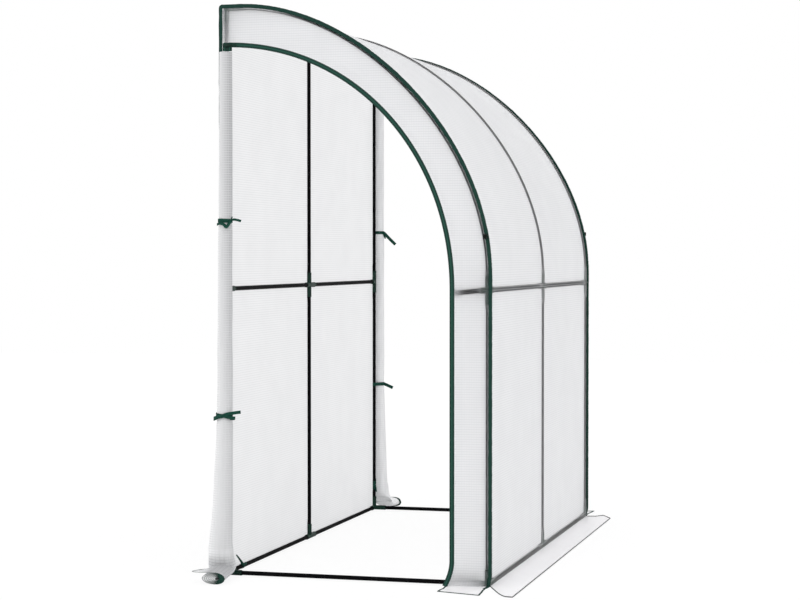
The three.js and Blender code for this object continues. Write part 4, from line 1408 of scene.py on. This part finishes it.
# Ground skirts
# Flaps of plain white film that lie out on the ground, one along the front and one under each
# end strip, hemmed with thin dark thread. They take earth or stones to hold the cover down.
front_fold = 1.0123
end_fold = 1.0023
front_span = 1.0005
straight_run = 0.026
end_reach = 0.186
end_skew = 0.042
end_corner = 0.007
end_tip = 0.011
end_inside = 0.859
skirt_height = 0.0010
skirt_lift = 0.0035
rim_height = 0.0020
skirt_white = (0.90, 0.89, 0.905)
hem_dark = (0.030, 0.032, 0.034)
hem_light = (0.060, 0.062, 0.064)

skirt = Finish("skirt_film", skirt_white)
threads = thread_grid(skirt, 1.0)
crumple = skirt.noise(skirt.object_place(), 30.0, 4.0, 0.6)
skirt_shader = skirt.node("ShaderNodeBsdfPrincipled", None, {
    "Base Color": skirt.colours(threads * 0.25, skirt_white, film_thread),
    "Roughness": 0.45,
    "Normal": skirt.bump(crumple + threads * 0.12, 0.003, 0.5),
})
skirt_film = skirt.end(skirt_shader)

hem_cord = Finish("hem_thread", hem_dark)
twist = hem_cord.node("ShaderNodeTexWave", {"wave_type": "BANDS"}, {
    "Vector": hem_cord.object_place(), "Scale": 160.0, "Distortion": 0.6})
hem_cord_shader = hem_cord.node("ShaderNodeBsdfPrincipled", None, {
    "Base Color": hem_cord.colours(twist, hem_dark, hem_light),
    "Roughness": 0.8,
    "Normal": hem_cord.bump(twist, 0.0004, 0.5),
})
hem_thread = hem_cord.end(hem_cord_shader)


def skirt_points(first_side, last_side, rows, columns):
    """A sheet between two sides that run out from the fold, spaced evenly along both."""
    first, last = even(np.array(first_side), rows), even(np.array(last_side), rows)
    share = np.linspace(0, 1, columns)[None, :, None]
    return first[:, None] + share * (last - first)[:, None]


def lay_skirt(name, node, body, flat_points, flip, hem, hem_material):
    """The flat sheet raised into low folds, highest halfway out from the fold line, with a hem
    carried along its three free sides."""
    out = np.linspace(0, 1, len(flat_points))[:, None]
    wave = np.abs(ripples(flat_points[..., 0], flat_points[..., 1], 0.16, 51))
    raised = skirt_height + skirt_lift * wave * 3 * out * (1 - out)
    points = np.concatenate([flat_points, raised[..., None]], axis=-1)
    points = points[:, ::-1] if flip else points
    made = make_piece(name, [sheet_grid(points)], skirt_film)
    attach(made, body)
    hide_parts(node)
    rim = even(np.concatenate([points[:, 0], points[-1, 1:-1], points[::-1, -1]]), 260)
    rim[:, 2] = np.maximum(rim[:, 2], rim_height)
    edge = make_piece(f"{name}_hem", [swept(rim, (0, 0, 1), hem)], hem_material)
    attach(edge, body)


near_side = curve_through([(front_fold, -front_span), (1.036, -1.056), (1.081, -1.154), (1.108, -1.189),
                           (1.1338, -1.1935)], 60)
far_side = [(front_fold, front_span), (1.052, 1.007), (1.080, 1.050), (1.127, 0.956)]
lay_skirt("front_ground_flap", "front_skirt", "front_flap", skirt_points(near_side, far_side, 24, 150),
          True, circle(0.0019, 8), hem_thread)
for end, sign in (("near", -1), ("far", 1)):
    inner_side = [(end_inside, end_fold), (end_inside, end_fold + straight_run),
                  (end_inside - end_corner, end_fold + end_reach - end_skew)]
    outer_side = [(frame_depth, end_fold), (frame_depth, end_fold + straight_run),
                  (frame_depth + end_tip, end_fold + end_reach)]
    points = skirt_points(inner_side, outer_side, 26, 26) * (1, sign)
    lay_skirt(f"{end}_ground_flap", f"{end}_end_skirt", f"{end}_flap", points,
              sign > 0, superellipse(0.0022, 0.0065), binding_tape)
